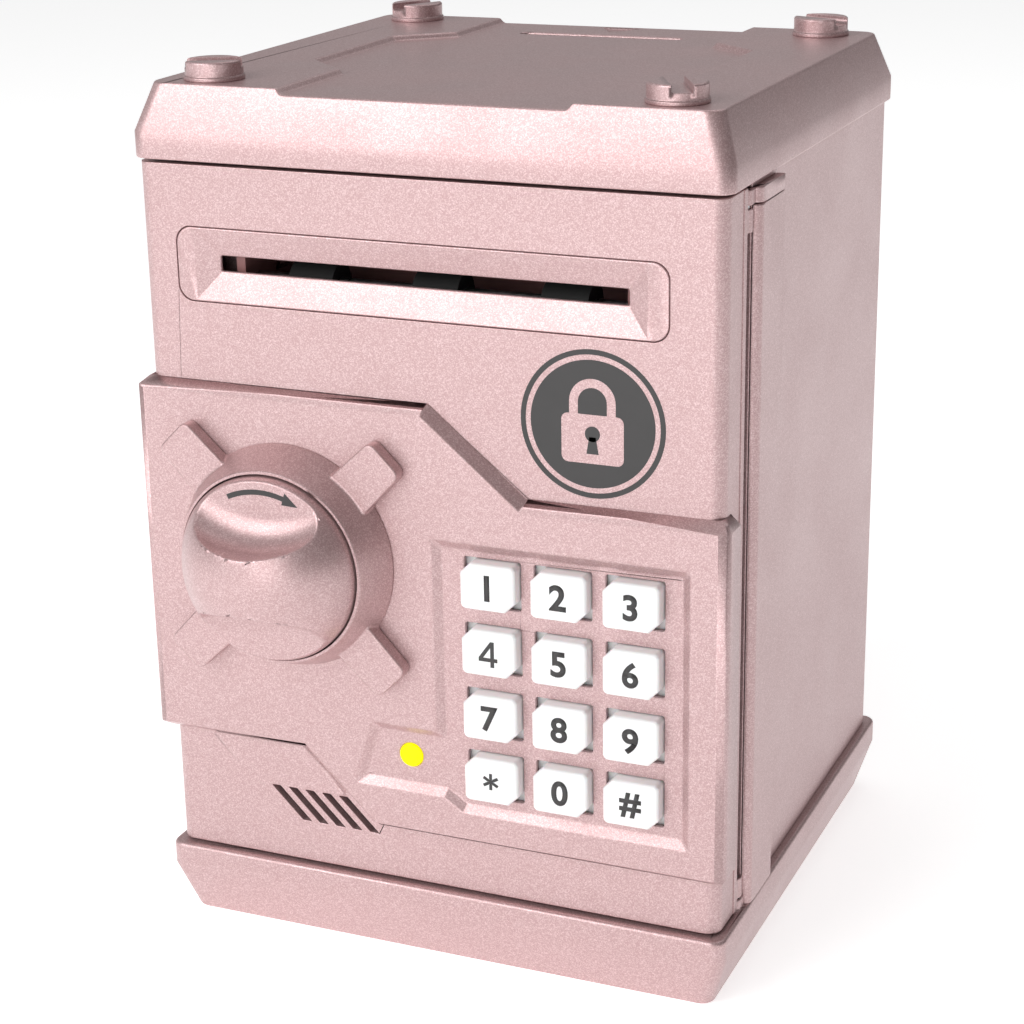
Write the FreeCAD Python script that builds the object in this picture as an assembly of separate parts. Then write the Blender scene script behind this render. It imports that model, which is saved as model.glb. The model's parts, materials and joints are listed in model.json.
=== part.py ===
import FreeCAD, Part
import math
import os

# Toy safe coin bank: a box with a hinged door, motor-fed bill slot, turning
# knob latch, twelve sprung keys and a coin slot in the lid.
# Millimetres. Origin at the centre of the base's underside, front towards -Y,
# +X to the viewer's right, +Z up.

# ---- base ----
BASE_WIDTH = 130.5
BASE_DEPTH = 123.6
BASE_TOP = 17.0
BASE_BAND_BOTTOM = 11.6
BASE_INSET = 3.6
BASE_CORNER = 3.0
BASE_LIP_ROUND = 0.9
BASE_PLATE_THICKNESS = 2.4
DECK_THICKNESS = 2.5
WALL = 2.2
BOSS_X = 51.0
BOSS_Y = 48.0
BOSS_RADIUS = 3.6
PAD_X = 34.0
PAD_Y = 48.0
PAD_RADIUS = 6.0
PAD_THICKNESS = 1.2
BOSS_CORE_END = 1.0

# ---- housing and lid ----
HOUSING_HALF = 63.3
HOUSING_REAR = 59.2
HOUSING_FRONT_LEFT = -46.9
HOUSING_FRONT_RIGHT = -43.6
HOUSING_TOP = 171.8
HOUSING_CORNER = 3.0
HOUSING_INNER_CORNER = 1.0
OVERCUT = 1.0
LID_WIDTH = 129.0
LID_DEPTH = 120.4
LID_BAND_TOP = 177.2
LID_TOP = 187.0
LID_INSET = 3.4
LID_CORNER = 3.6
LID_RECESS_DEPTH = 1.2
LID_RECESS_DRAFT = 1.0
LID_RECESS_NARROW = 31.6
LID_RECESS_WIDE = 43.0
LID_RECESS_STEPS = (-29.0, -18.0, 20.3, 30.3)
LID_PLATE = 2.4
LID_INNER_CORNER = 2.0
LID_INNER_INSET = 2.72
LID_CORE_END = 1.5
LID_MARK = [(-4.6, 55.6), (0, 48.2), (4.6, 55.6)]
LID_MARK_DEPTH = 0.5
COIN_SLOT_HALF = 19.8
COIN_SLOT_WIDTH = 3.2
COIN_SLOT_Y = 41.5
COIN_SLOT_ROUND = 1.55
COIN_CHUTE_WALL = 1.4
COIN_CHUTE_ROOM = 0.3
COIN_CHUTE_DROP = 3.0
COIN_CHUTE_CORNER = 1.0
BOLT_X = 50.0
BOLT_Y = 49.0
BOLT_HEAD_RADIUS = 6.0
BOLT_HEAD_HEIGHT = 4.0
BOLT_SHANK = 2.0
BOLT_SHANK_LENGTH = 6.0
BOLT_FLANGE_RADIUS = 6.3
BOLT_FLANGE_HEIGHT = 0.9
BOLT_CROWN_ROUND = 0.5
BOLT_SLOT_HALF = 2.1
BOLT_SLOT_FLOOR = 2.5
BOLT_SLOT_ANGLES = (25.0, 118.0, 62.0, -20.0)
TAB_X = 55.0
TAB_FRONT = -30.0
TAB_REAR = 52.0
TAB_HALF = 4.8
TAB_THICKNESS = 2.5
LID_BOSS_RADIUS = 3.4

# ---- screws ----
SCREW_RADIUS = 1.25
SCREW_HEAD = 2.7
SCREW_HEAD_HEIGHT = 1.6
CROSS_WIDTH = 0.6
CROSS_REACH = 1.7
CROSS_DEPTH = 0.9
SCREW_HOLE_GAP = 0.15
SCREW_HEAD_GAP = 0.3
SCREW_CORE_GAP = 1.0
BASE_SCREW_TIP = 11.0
COVER_SCREW_REACH = 8.0
DOOR_SCREWS = [
    (-57.0, 24.0), (57.0, 30.0), (-57.0, 118.0), (57.0, 110.0), (-57.0, 166.0), (57.0, 160.0),
]
DOOR_BOSS_RADIUS = 3.2
DOOR_CORE_GAP = 0.5

# ---- hinge ----
HINGE_X = 62.4
HINGE_Y = -45.6
HINGE_PIN = 1.0
HINGE_BORE = 1.06
HINGE_PIN_BURIED = 2.0
HINGE_PIN_SUNK = 0.3
HINGE_WEB_LEFT = 1.5
HINGE_WEB_RIGHT = 1.3
HINGE_WEB_DEPTH = 0.5
BARREL_RADIUS = 1.65
POST_REAR = -28.0
POST_TOP = 167.2
POST_ROUND = 1.85
POST_HEEL_ROUND = 0.4
BRACKET_BOTTOM = 167.5
BRACKET_TOP = 170.5
HINGE_BLOCK_TOP = 19.5
BARREL_LENGTH = 4.6
BARREL_GAP = 0.4

# ---- door ----
DOOR_HALF = 63.5
DOOR_FACE = -59.6
DOOR_BOTTOM = 17.6
DOOR_TOP = 171.1
DOOR_CORNER = 3.2
DOOR_INNER_CORNER = 1.2
SHAFT_HOLE_GAP = 1.0
LED_HOLE_GAP = 0.8
COVER_FRONT = -49.4
COVER_REAR = -47.4
COVER_LIP = 0.2

# ---- raised lock panel ----
PANEL_FACE = -62.6
PANEL_HALF = 65.6
PANEL_WRAP_REAR = -54.8
PANEL_CORNER = 2.2
PANEL_BEVEL = 2.0
PANEL_TOP_LEFT = 123.8
PANEL_TOP_RIGHT = 106.2
PANEL_BOTTOM_LEFT = 47.3
PANEL_BOTTOM_RIGHT = 31.5
PANEL_STEP_TOP = (0.5, 21.6)
PANEL_STEP_BOTTOM = (-29.2, -13.0)
PANEL_CORNER_SLOPE = 2.1
PANEL_SLANT_SHARE = 0.4
RECESS_FLOOR = -61.1
RECESS_BEVEL = 1.9
RECESS_CORNER = 0.8
RECESS_OUTLINE = [
    (4.0, 96.1), (4.0, 53.3), (-11.6, 53.3), (-15.2, 42.0),
    (4.1, 42.0), (8.4, 39.1), (56.1, 39.1), (56.1, 96.1),
]

# ---- keys ----
KEY_COLUMNS = (15.1, 30.5, 45.95)
KEY_ROWS = (89.4, 75.05, 60.6, 46.4)
KEY_NAMES = (
    ("key_1", "key_2", "key_3"),
    ("key_4", "key_5", "key_6"),
    ("key_7", "key_8", "key_9"),
    ("key_star", "key_0", "key_hash"),
)
KEY_WIDTH = 12.1
KEY_HEIGHT = 10.1
KEY_FACE = -64.1
KEY_CHAMFER = 2.3
KEY_ROUND = 1.2
KEY_CUT_ROUND = 0.5
KEY_HOLE_CORNER = 0.6
KEY_FLANGE_CORNER = 0.8
KEY_EDGE = 0.8
KEY_CLEARANCE = 0.3
KEY_FLANGE = 0.8
KEY_FLANGE_FRONT = -59.3
KEY_FLANGE_REAR = -58.2
KEY_WINDOW_MARGIN = 9.0
KEY_WINDOW_RISE = 7.0
MEMBRANE_FRONT = -56.7
MEMBRANE_REAR = -55.9
BOARD_REAR = -54.3
BOARD_LEFT_MARGIN = 5.0
BOARD_RIGHT_MARGIN = 10.0
BOARD_RISE = 8.0
CHIP_LEFT = 22.0
CHIP_RIGHT = 38.0
CHIP_BOTTOM = 60.0
CHIP_TOP = 70.0
CHIP_THICKNESS = 1.4
LED_X = -4.45
LED_Z = 48.1
LED_RADIUS = 2.6
LED_PROUD = 0.3
LED_ROUND = 0.29
LED_COLLAR = 0.4
LED_COLLAR_FRONT = -59.4
LED_COLLAR_REAR = -58.4
LED_PLAY = 0.05

# ---- bill slot ----
BEZEL_X = -1.4
BEZEL_Z = 150.5
BEZEL_HALF_WIDTH = 53.6
BEZEL_HALF_HEIGHT = 7.75
BEZEL_CORNER = 3.5
BEZEL_SEAM = 0.15
BEZEL_PLATE = 1.2
BEZEL_THROAT_WIDER = 1.3
BEZEL_THROAT_LOWER = 0.7
BEZEL_THROAT_PLAY = 0.2
FUNNEL_HALF_WIDTH = 49.2
FUNNEL_HALF_HEIGHT = 6.8
FUNNEL_DEPTH = 2.4
BILL_HALF_WIDTH = 44.7
BILL_HALF_HEIGHT = 1.6
BEZEL_REAR = -56.4

# ---- speaker grille and pad ----
PAD_OUTLINE = [(-53.8, 45.3), (-43.7, 35.1), (-20.6, 35.1), (-31.0, 45.3)]
PAD_RELIEF = 0.5
PAD_CORNER = 0.6
GRILLE_COUNT = 5
GRILLE_LEFT = -39.5
GRILLE_PITCH = 4.1
GRILLE_TOP = 34.6
GRILLE_DROP = 7.4
GRILLE_WIDTH = 2.2
SPEAKER_X = -27.0
SPEAKER_Z = 33.0
SPEAKER_RADIUS = 12.0
SPEAKER_RIM = 1.2
SPEAKER_RIM_DEPTH = 0.6
SPEAKER_PLATE_DEPTH = 2.2
SPEAKER_MAGNET = 6.0
SPEAKER_DEPTH = 5.6

# ---- knob and latch ----
KNOB_X = -30.8
KNOB_Z = 90.4
CONE_FOOT = 24.6
CONE_RIM = 20.9
CONE_FACE = -71.5
DIAL_BORE = 20.4
DIAL_RADIUS = 20.0
DIAL_BACK = -65.9
DIAL_EDGE = -72.2
DIAL_APEX = -85.5
CONE_FLOOR = -65.5
GRIP_HALF = 6.3
SCOOP_RADIUS = 32.0
SCOOP_FILLET = 7.0
SCOOP_FLOOR = -73.5
SCOOP_FRONT = -95.0
DIAL_SOCKET = 6.0
ARM_FACE = -66.1
ARM_TIP = 35.0
ARM_ROOT_HALF = 6.0
ARM_TIP_HALF = 4.7
ARM_ROUND = 1.9
SHAFT_RADIUS = 3.0
RUNNING_CLEARANCE = 0.06
CAM_FRONT = -46.9
CAM_REAR = -45.1
CAM_RADIUS = 10.0
CRANK_RADIUS = 6.0
CRANK_PIN = 1.5
CRANK_SLOT_HALF = 2.25
CRANK_OVERHANG = 0.6
NOTCH_WIDTH = 3.4
NOTCH_DEPTH = 3.6
KNOB_SWING = 60.0
LATCH_FRONT = -44.6
LATCH_REAR = -41.6
LATCH_BOTTOM = 92.9
LATCH_TOP = 100.5
LATCH_TIP = -54.6
LATCH_END = -25.0
LATCH_FORK_ROOM = 0.5
LATCH_RAMP_DEPTH = 1.0
LATCH_RAMP_LENGTH = 1.5
STRIKE_FRONT = -46.4
STRIKE_REAR = -44.9
STRIKE_REACH = 3.9
PLUNGER_RADIUS = 1.2
PLUNGER_TIP = 79.9
PLUNGER_Y = -46.0
PLUNGER_BURIED = 4.0
STRIKE_LEAF = 1.2
STRIKE_END = -34.0
STRIKE_LOW = 84.0
STRIKE_HIGH = 109.0
GUIDE_LEFT = -53.0
GUIDE_RIGHT = -43.0
GUIDE_GAP = 0.3
GUIDE_WALL = 1.5
GUIDE_FOOT = 2.6
CAM_NECK = 2.0
CAM_SCREW = 0.9
CAM_SCREW_DEPTH = 5.0
CAM_SCREW_HEAD = 2.1
CAM_SCREW_HEAD_HEIGHT = 1.2
SOLENOID_LEAF = 1.2
COIL_RADIUS = 4.2
COIL_Y = -42.2
SOLENOID_TOP = 73.0
SOLENOID_BOTTOM = 58.0
SOLENOID_HALF = 6.5
SOLENOID_REAR = -37.4

# ---- bill feed ----
FEED_Y = -48.5
DRIVE_Z = 145.9
DRIVE_ROLLER = 4.5
IDLER_ROLLER = 4.0
IDLER_Z = 154.7
FEED_SHAFT = 1.5
ROLLER_WIDTH = 10.0
ROLLER_PLACES = (-28.0, 0.0, 28.0)
CRADLE_INNER = 42.0
CRADLE_OUTER = 44.0
CRADLE_FRONT = -54.5
CRADLE_REAR = -41.5
CRADLE_LEFT_BOTTOM = 138.9
CRADLE_TIE_DEPTH = 3.0
CRADLE_TIE_THICKNESS = 1.6
CRADLE_FOOT_THICKNESS = 3.0
SHAFT_OVERHANG = 0.8
GEAR_OVERHANG = 0.6
BILL_GUIDE_INNER = 1.4
BILL_GUIDE_OUTER = 2.6
BILL_EXIT_HALF = 2.5
GEAR_MODULE = 0.8
TOOTH_ROOT = 1.2
TOOTH_TIP = 0.9
TOOTH_HALF_SHARES = (0.30, 0.20, 0.10)
GEAR_TEETH = 16
PINION_TEETH = 12
GEAR_FRONT = 44.6
GEAR_BACK = 47.6
PINION_Z = DRIVE_Z - GEAR_MODULE * (GEAR_TEETH + PINION_TEETH) / 2
MOTOR_RADIUS = 6.0
MOTOR_LEFT = 17.0
MOTOR_SHAFT = 1.0
MOTOR_SHAFT_GAP = 0.6
MOTOR_SHAFT_BURIED = 4.0
MOTOR_BORE_DEPTH = 5.0
MOTOR_CAP_RADIUS = 2.5
MOTOR_CAP_LENGTH = 1.5
MECHANISM_LEFT = -48.0
MECHANISM_RIGHT = 52.0
MECHANISM_BOTTOM = 126.5
MECHANISM_TOP = 163.0
MECHANISM_REAR = -30.0
MECHANISM_WALL = 1.6

# ---- battery box ----
CELL_RADIUS = 7.1
CELL_LENGTH = 49.0
CELL_PITCH = 15.2
CELL_Y = -38.6
CELL_CENTRE_X = 29.0
CELL_BOTTOM = 46.0
CELL_NUB = 1.2
CELL_NUB_RADIUS = 2.6
BOX_WALL = 1.6
BOX_FLOOR = 1.2
BOX_REAR = -30.4
BATTERY_COVER_REAR = -28.8
BOX_END_ROOM = 3.4
BOX_SIDE_ROOM = 2.2
BOX_LEFT = CELL_CENTRE_X - CELL_LENGTH / 2 - BOX_END_ROOM
BOX_RIGHT = CELL_CENTRE_X + CELL_LENGTH / 2 + BOX_END_ROOM
BOX_BOTTOM = CELL_BOTTOM - CELL_RADIUS - BOX_SIDE_ROOM
BOX_TOP = CELL_BOTTOM + 2 * CELL_PITCH + CELL_RADIUS + BOX_SIDE_ROOM
HATCH_SCREW_Z = BOX_TOP + 2.2
HATCH_SCREW_DEPTH = 9.0
HATCH_SCREW_LENGTH = 6.0
HATCH_TOP = BOX_TOP + 5.2
HATCH_LIP = 0.6
HATCH_LIP_GAP = 0.4
HATCH_BOSS = 2.6
HATCH_HEAD = 2.4
HATCH_HEAD_HEIGHT = 1.4
CONTACT_THICKNESS = 1.6
CONTACT_HALF = 5.0

parts = {}


# ---- small construction helpers ----
def vec(x, y, z):
    return FreeCAD.Vector(x, y, z)


def block(x0, x1, y0, y1, z0, z1):
    return Part.makeBox(x1 - x0, y1 - y0, z1 - z0, vec(x0, y0, z0))


def rod_x(radius, x0, x1, y, z):
    return Part.makeCylinder(radius, x1 - x0, vec(x0, y, z), vec(1, 0, 0))


def rod_y(radius, y0, y1, x, z):
    return Part.makeCylinder(radius, y1 - y0, vec(x, y0, z), vec(0, 1, 0))


def rod_z(radius, z0, z1, x, y):
    return Part.makeCylinder(radius, z1 - z0, vec(x, y, z0), vec(0, 0, 1))


def joined(shapes):
    whole = shapes[0]
    if len(shapes) > 1:
        whole = whole.fuse(shapes[1:])
    return whole.removeSplitter()


def minus(shape, tools):
    return shape.cut(tools).removeSplitter()


def offset_outline(points, distance):
    """Outline with every side moved outward by distance, corners kept sharp."""
    area = sum(a[0] * b[1] - b[0] * a[1] for a, b in zip(points, points[1:] + points[:1]))
    side = distance if area > 0 else -distance
    moved = []
    for index, point in enumerate(points):
        before = points[index - 1]
        after = points[(index + 1) % len(points)]
        arriving = unit(before, point)
        leaving = unit(point, after)
        bend = 1 + arriving[0] * leaving[0] + arriving[1] * leaving[1]
        shift_u = side * (arriving[1] + leaving[1]) / bend
        shift_v = -side * (arriving[0] + leaving[0]) / bend
        moved.append((point[0] + shift_u, point[1] + shift_v))
    return moved


def unit(start, end):
    length = math.hypot(end[0] - start[0], end[1] - start[1])
    return ((end[0] - start[0]) / length, (end[1] - start[1]) / length)


def rounded_wire(points, radii, place):
    """Closed wire through the points with tangent arcs at the corners."""
    arcs = []
    for index, point in enumerate(points):
        radius = radii[index] if isinstance(radii, (list, tuple)) else radii
        back = unit(point, points[index - 1])
        ahead = unit(point, points[(index + 1) % len(points)])
        half = math.acos(back[0] * ahead[0] + back[1] * ahead[1]) / 2
        if radius <= 0:
            arcs.append((point, None, point))
            continue
        reach = radius / math.tan(half)
        middle = (back[0] + ahead[0], back[1] + ahead[1])
        length = math.hypot(middle[0], middle[1])
        depth = radius / math.sin(half) - radius
        arcs.append((
            (point[0] + back[0] * reach, point[1] + back[1] * reach),
            (point[0] + middle[0] / length * depth, point[1] + middle[1] / length * depth),
            (point[0] + ahead[0] * reach, point[1] + ahead[1] * reach),
        ))
    edges = []
    for index, (start, middle, end) in enumerate(arcs):
        if middle is not None:
            edges.append(Part.Arc(place(*start), place(*middle), place(*end)).toShape())
        following = arcs[(index + 1) % len(arcs)][0]
        edges.append(Part.LineSegment(place(*end), place(*following)).toShape())
    return Part.Wire(edges)


def prism_y(points, y0, y1, radii=0.0):
    wire = rounded_wire(points, radii, lambda x, z: vec(x, y0, z))
    return Part.Face(wire).extrude(vec(0, y1 - y0, 0))


def prism_z(points, z0, z1, radii=0.0):
    wire = rounded_wire(points, radii, lambda x, y: vec(x, y, z0))
    return Part.Face(wire).extrude(vec(0, 0, z1 - z0))


def prism_x(points, x0, x1, radii=0.0):
    wire = rounded_wire(points, radii, lambda y, z: vec(x0, y, z))
    return Part.Face(wire).extrude(vec(x1 - x0, 0, 0))


def taper_y(points0, y0, points1, y1, radii=0.0):
    first = rounded_wire(points0, radii, lambda x, z: vec(x, y0, z))
    last = rounded_wire(points1, radii, lambda x, z: vec(x, y1, z))
    return Part.makeLoft([first, last], True, True)


def taper_z(points0, z0, points1, z1, radii=0.0):
    first = rounded_wire(points0, radii, lambda x, y: vec(x, y, z0))
    last = rounded_wire(points1, radii, lambda x, y: vec(x, y, z1))
    return Part.makeLoft([first, last], True, True)


def rectangle(half_width, half_height, centre_u=0.0, centre_v=0.0):
    return [
        (centre_u - half_width, centre_v - half_height),
        (centre_u + half_width, centre_v - half_height),
        (centre_u + half_width, centre_v + half_height),
        (centre_u - half_width, centre_v + half_height),
    ]


def screw_z(x, y, head_bottom, tip):
    """Pan-head screw standing along Z, driven from below by the cross recess in its head."""
    head_top = head_bottom + SCREW_HEAD_HEIGHT
    head = rod_z(SCREW_HEAD, head_bottom, head_top, x, y)
    shank = rod_z(SCREW_RADIUS, head_top, tip, x, y)
    recess = [
        block(x - reach, x + reach, y - width, y + width, head_bottom, head_bottom + CROSS_DEPTH)
        for reach, width in ((CROSS_REACH, CROSS_WIDTH / 2), (CROSS_WIDTH / 2, CROSS_REACH))
    ]
    return minus(joined([head, shank]), recess)


def screw_y(x, z, head_rear, tip):
    """Pan-head screw along Y, driven from the rear by the cross recess in its head."""
    head_front = head_rear - SCREW_HEAD_HEIGHT
    head = rod_y(SCREW_HEAD, head_front, head_rear, x, z)
    shank = rod_y(SCREW_RADIUS, tip, head_front, x, z)
    recess = [
        block(x - reach, x + reach, head_rear - CROSS_DEPTH, head_rear, z - width, z + width)
        for reach, width in ((CROSS_REACH, CROSS_WIDTH / 2), (CROSS_WIDTH / 2, CROSS_REACH))
    ]
    return minus(joined([head, shank]), recess)


def four(x, y):
    return [(-x, -y), (x, -y), (-x, y), (x, y)]


# ---- base ----
def base_shell():
    band = rectangle(BASE_WIDTH / 2, BASE_DEPTH / 2)
    foot = offset_outline(band, -BASE_INSET)
    lower = taper_z(foot, 0, band, BASE_BAND_BOTTOM, BASE_CORNER)
    upper = prism_z(band, BASE_BAND_BOTTOM, BASE_TOP, BASE_CORNER)
    inner = offset_outline(foot, -WALL)
    hollow = prism_z(inner, 0, BASE_TOP - DECK_THICKNESS, BASE_CORNER)
    post = [
        (HINGE_X, HINGE_Y), (HINGE_X + BARREL_RADIUS, HINGE_Y),
        (HINGE_X + BARREL_RADIUS, HOUSING_FRONT_RIGHT),
        (HINGE_X - BARREL_RADIUS, HOUSING_FRONT_RIGHT), (HINGE_X - BARREL_RADIUS, HINGE_Y),
    ]
    hinge_block = joined([
        prism_z(post, BASE_TOP, HINGE_BLOCK_TOP),
        rod_z(BARREL_RADIUS, BASE_TOP, HINGE_BLOCK_TOP, HINGE_X, HINGE_Y),
    ])
    bosses = [
        rod_z(BOSS_RADIUS, BASE_PLATE_THICKNESS, BASE_TOP - DECK_THICKNESS, x, y)
        for x, y in four(BOSS_X, BOSS_Y)
    ]
    holes = [
        rod_z(SCREW_RADIUS, BASE_PLATE_THICKNESS, BASE_TOP - DECK_THICKNESS - BOSS_CORE_END, x, y)
        for x, y in four(BOSS_X, BOSS_Y)
    ]
    pin_hole = rod_z(HINGE_PIN, BASE_TOP - HINGE_PIN_BURIED, HINGE_BLOCK_TOP, HINGE_X, HINGE_Y)
    body = minus(joined([lower, upper]), [hollow])
    body = top_rounded(body, BASE_TOP, BASE_LIP_ROUND)
    return minus(joined([body, hinge_block] + bosses), holes + [pin_hole])


def top_rounded(body, height, radius):
    """Body with every edge that lies in the plane at this height rounded."""
    edges = [
        edge for edge in body.Edges
        if edge.BoundBox.ZLength < 1e-6 and abs(edge.BoundBox.ZMin - height) < 1e-6
    ]
    return body.makeFillet(radius, edges)


def base_plate():
    foot = rectangle(BASE_WIDTH / 2 - BASE_INSET - WALL, BASE_DEPTH / 2 - BASE_INSET - WALL)
    plate = prism_z(foot, 0, BASE_PLATE_THICKNESS, BASE_CORNER)
    holes = []
    for x, y in four(BOSS_X, BOSS_Y):
        holes.append(rod_z(SCREW_RADIUS + SCREW_HOLE_GAP, 0, BASE_PLATE_THICKNESS, x, y))
        holes.append(rod_z(SCREW_HEAD + SCREW_HEAD_GAP, 0, SCREW_HEAD_HEIGHT, x, y))
    for x, y in four(PAD_X, PAD_Y):
        holes.append(rod_z(PAD_RADIUS, 0, PAD_THICKNESS, x, y))
    return minus(plate, holes)


def floor_pads():
    return Part.makeCompound([
        rod_z(PAD_RADIUS, 0, PAD_THICKNESS, x, y) for x, y in four(PAD_X, PAD_Y)
    ])


def base_screws():
    return Part.makeCompound([screw_z(x, y, 0, BASE_SCREW_TIP) for x, y in four(BOSS_X, BOSS_Y)])


# ---- housing ----
def housing_shell():
    outer = prism_z([
        (-HOUSING_HALF, HOUSING_FRONT_LEFT), (HOUSING_HALF, HOUSING_FRONT_LEFT),
        (HOUSING_HALF, HOUSING_REAR), (-HOUSING_HALF, HOUSING_REAR),
    ], BASE_TOP, HOUSING_TOP, [0, 0, HOUSING_CORNER, HOUSING_CORNER])
    inside = HOUSING_HALF - WALL
    inner = prism_z([
        (-inside, HOUSING_FRONT_LEFT - OVERCUT), (inside, HOUSING_FRONT_LEFT - OVERCUT),
        (inside, HOUSING_REAR - WALL), (-inside, HOUSING_REAR - WALL),
    ], BASE_TOP, HOUSING_TOP, [0, 0, HOUSING_INNER_CORNER, HOUSING_INNER_CORNER])
    notch = block(inside, HOUSING_HALF, HOUSING_FRONT_LEFT, HOUSING_FRONT_RIGHT, BASE_TOP, HOUSING_TOP)
    shell = minus(outer, [inner, notch])
    pieces = [shell]
    holes = []
    for side in (-1, 1):
        for y in (TAB_FRONT, TAB_REAR):
            x0, x1 = sorted((side * (TAB_X - TAB_HALF), side * inside))
            rear = HOUSING_REAR - WALL if y == TAB_REAR else y + TAB_HALF
            pieces.append(block(x0, x1, y - TAB_HALF, rear, HOUSING_TOP - TAB_THICKNESS, HOUSING_TOP))
            holes.append(rod_z(
                SCREW_RADIUS + SCREW_HOLE_GAP, HOUSING_TOP - TAB_THICKNESS, HOUSING_TOP, side * TAB_X, y))
    return minus(joined(pieces), holes)


def post_prism(bottom, top):
    """Strip outside the housing's right wall, with a round front corner."""
    outline = [
        (HOUSING_HALF, HOUSING_FRONT_RIGHT), (BASE_WIDTH / 2, HOUSING_FRONT_RIGHT),
        (BASE_WIDTH / 2, POST_REAR), (HOUSING_HALF, POST_REAR),
    ]
    return prism_z(outline, bottom, top, [0, POST_ROUND, POST_HEEL_ROUND, 0])


def hinge_post():
    return post_prism(BASE_TOP, POST_TOP)


def upper_hinge_bracket():
    cheek = post_prism(BRACKET_BOTTOM, BRACKET_TOP)
    ear = prism_z([
        (HINGE_X - BARREL_RADIUS, HINGE_Y), (HINGE_X + BARREL_RADIUS, HINGE_Y),
        (HINGE_X + BARREL_RADIUS, HOUSING_FRONT_RIGHT), (HINGE_X - BARREL_RADIUS, HOUSING_FRONT_RIGHT),
    ], BRACKET_BOTTOM, BRACKET_TOP)
    nose = rod_z(BARREL_RADIUS, BRACKET_BOTTOM, BRACKET_TOP, HINGE_X, HINGE_Y)
    bore = rod_z(HINGE_PIN, BRACKET_BOTTOM, BRACKET_TOP, HINGE_X, HINGE_Y)
    return minus(joined([cheek, ear, nose]), [bore])


def hinge_pins():
    top = rod_z(HINGE_PIN, POST_TOP - BARREL_LENGTH, BRACKET_TOP - HINGE_PIN_SUNK, HINGE_X, HINGE_Y)
    lower_end = HINGE_BLOCK_TOP + BARREL_GAP + BARREL_LENGTH
    bottom = rod_z(HINGE_PIN, BASE_TOP - HINGE_PIN_BURIED, lower_end, HINGE_X, HINGE_Y)
    return Part.makeCompound([top, bottom])


def strike_plate():
    inside = -HOUSING_HALF + WALL
    leaf = block(inside, inside + STRIKE_LEAF, STRIKE_FRONT, STRIKE_END, STRIKE_LOW, STRIKE_HIGH)
    lip = block(inside, inside + STRIKE_REACH, STRIKE_FRONT, STRIKE_REAR, STRIKE_LOW, STRIKE_HIGH)
    return joined([leaf, lip])


# ---- lid ----
def recess_outline(narrow, wide):
    step1, step2, step3, step4 = LID_RECESS_STEPS
    far = LID_DEPTH
    left = [
        (-narrow, -far), (-narrow, step1), (-wide, step2),
        (-wide, step3), (-narrow, step4), (-narrow, far),
    ]
    right = [(-x, y) for x, y in reversed(left)]
    return left + right


def top_cover():
    band = rectangle(LID_WIDTH / 2, LID_DEPTH / 2)
    crown = offset_outline(band, -LID_INSET)
    lower = prism_z(band, HOUSING_TOP, LID_BAND_TOP, LID_CORNER)
    upper = taper_z(band, LID_BAND_TOP, crown, LID_TOP, LID_CORNER)
    ceiling = LID_TOP - LID_RECESS_DEPTH - LID_PLATE
    void_foot = offset_outline(band, -LID_PLATE)
    void_crown = offset_outline(void_foot, -LID_INNER_INSET)
    shoulder = LID_BAND_TOP - OVERCUT
    lower_void = prism_z(void_foot, HOUSING_TOP, shoulder, LID_INNER_CORNER)
    upper_void = taper_z(void_foot, shoulder, void_crown, ceiling, LID_INNER_CORNER)
    floor = recess_outline(LID_RECESS_NARROW - LID_RECESS_DRAFT, LID_RECESS_WIDE - LID_RECESS_DRAFT)
    rim = recess_outline(LID_RECESS_NARROW, LID_RECESS_WIDE)
    recess = taper_z(floor, LID_TOP - LID_RECESS_DEPTH, rim, LID_TOP)
    slot = prism_z(
        rectangle(COIN_SLOT_HALF, COIN_SLOT_WIDTH / 2, 0, COIN_SLOT_Y),
        ceiling, LID_TOP, COIN_SLOT_ROUND)
    arrow = prism_z(LID_MARK, LID_TOP - LID_RECESS_DEPTH - LID_MARK_DEPTH, LID_TOP)
    bolt_holes = [rod_z(BOLT_SHANK, ceiling, LID_TOP, x, y) for x, y in four(BOLT_X, BOLT_Y)]
    hollow = joined([lower_void, upper_void])
    shell = minus(joined([lower, upper]), [hollow, recess, slot, arrow] + bolt_holes)
    bosses = []
    cores = []
    for side in (-1, 1):
        for y in (TAB_FRONT, TAB_REAR):
            bosses.append(rod_z(LID_BOSS_RADIUS, HOUSING_TOP, ceiling, side * TAB_X, y))
            cores.append(rod_z(SCREW_RADIUS, HOUSING_TOP, ceiling - LID_CORE_END, side * TAB_X, y))
    return minus(joined([shell] + bosses), cores)


def coin_chute():
    ceiling = LID_TOP - LID_RECESS_DEPTH - LID_PLATE
    foot = HOUSING_TOP - COIN_CHUTE_DROP
    slot = rectangle(COIN_SLOT_HALF, COIN_SLOT_WIDTH / 2, 0, COIN_SLOT_Y)
    inner = offset_outline(slot, COIN_CHUTE_ROOM)
    outer = offset_outline(inner, COIN_CHUTE_WALL)
    tube = prism_z(outer, foot, ceiling, COIN_CHUTE_CORNER)
    return minus(tube, [prism_z(inner, foot, ceiling)])


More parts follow.
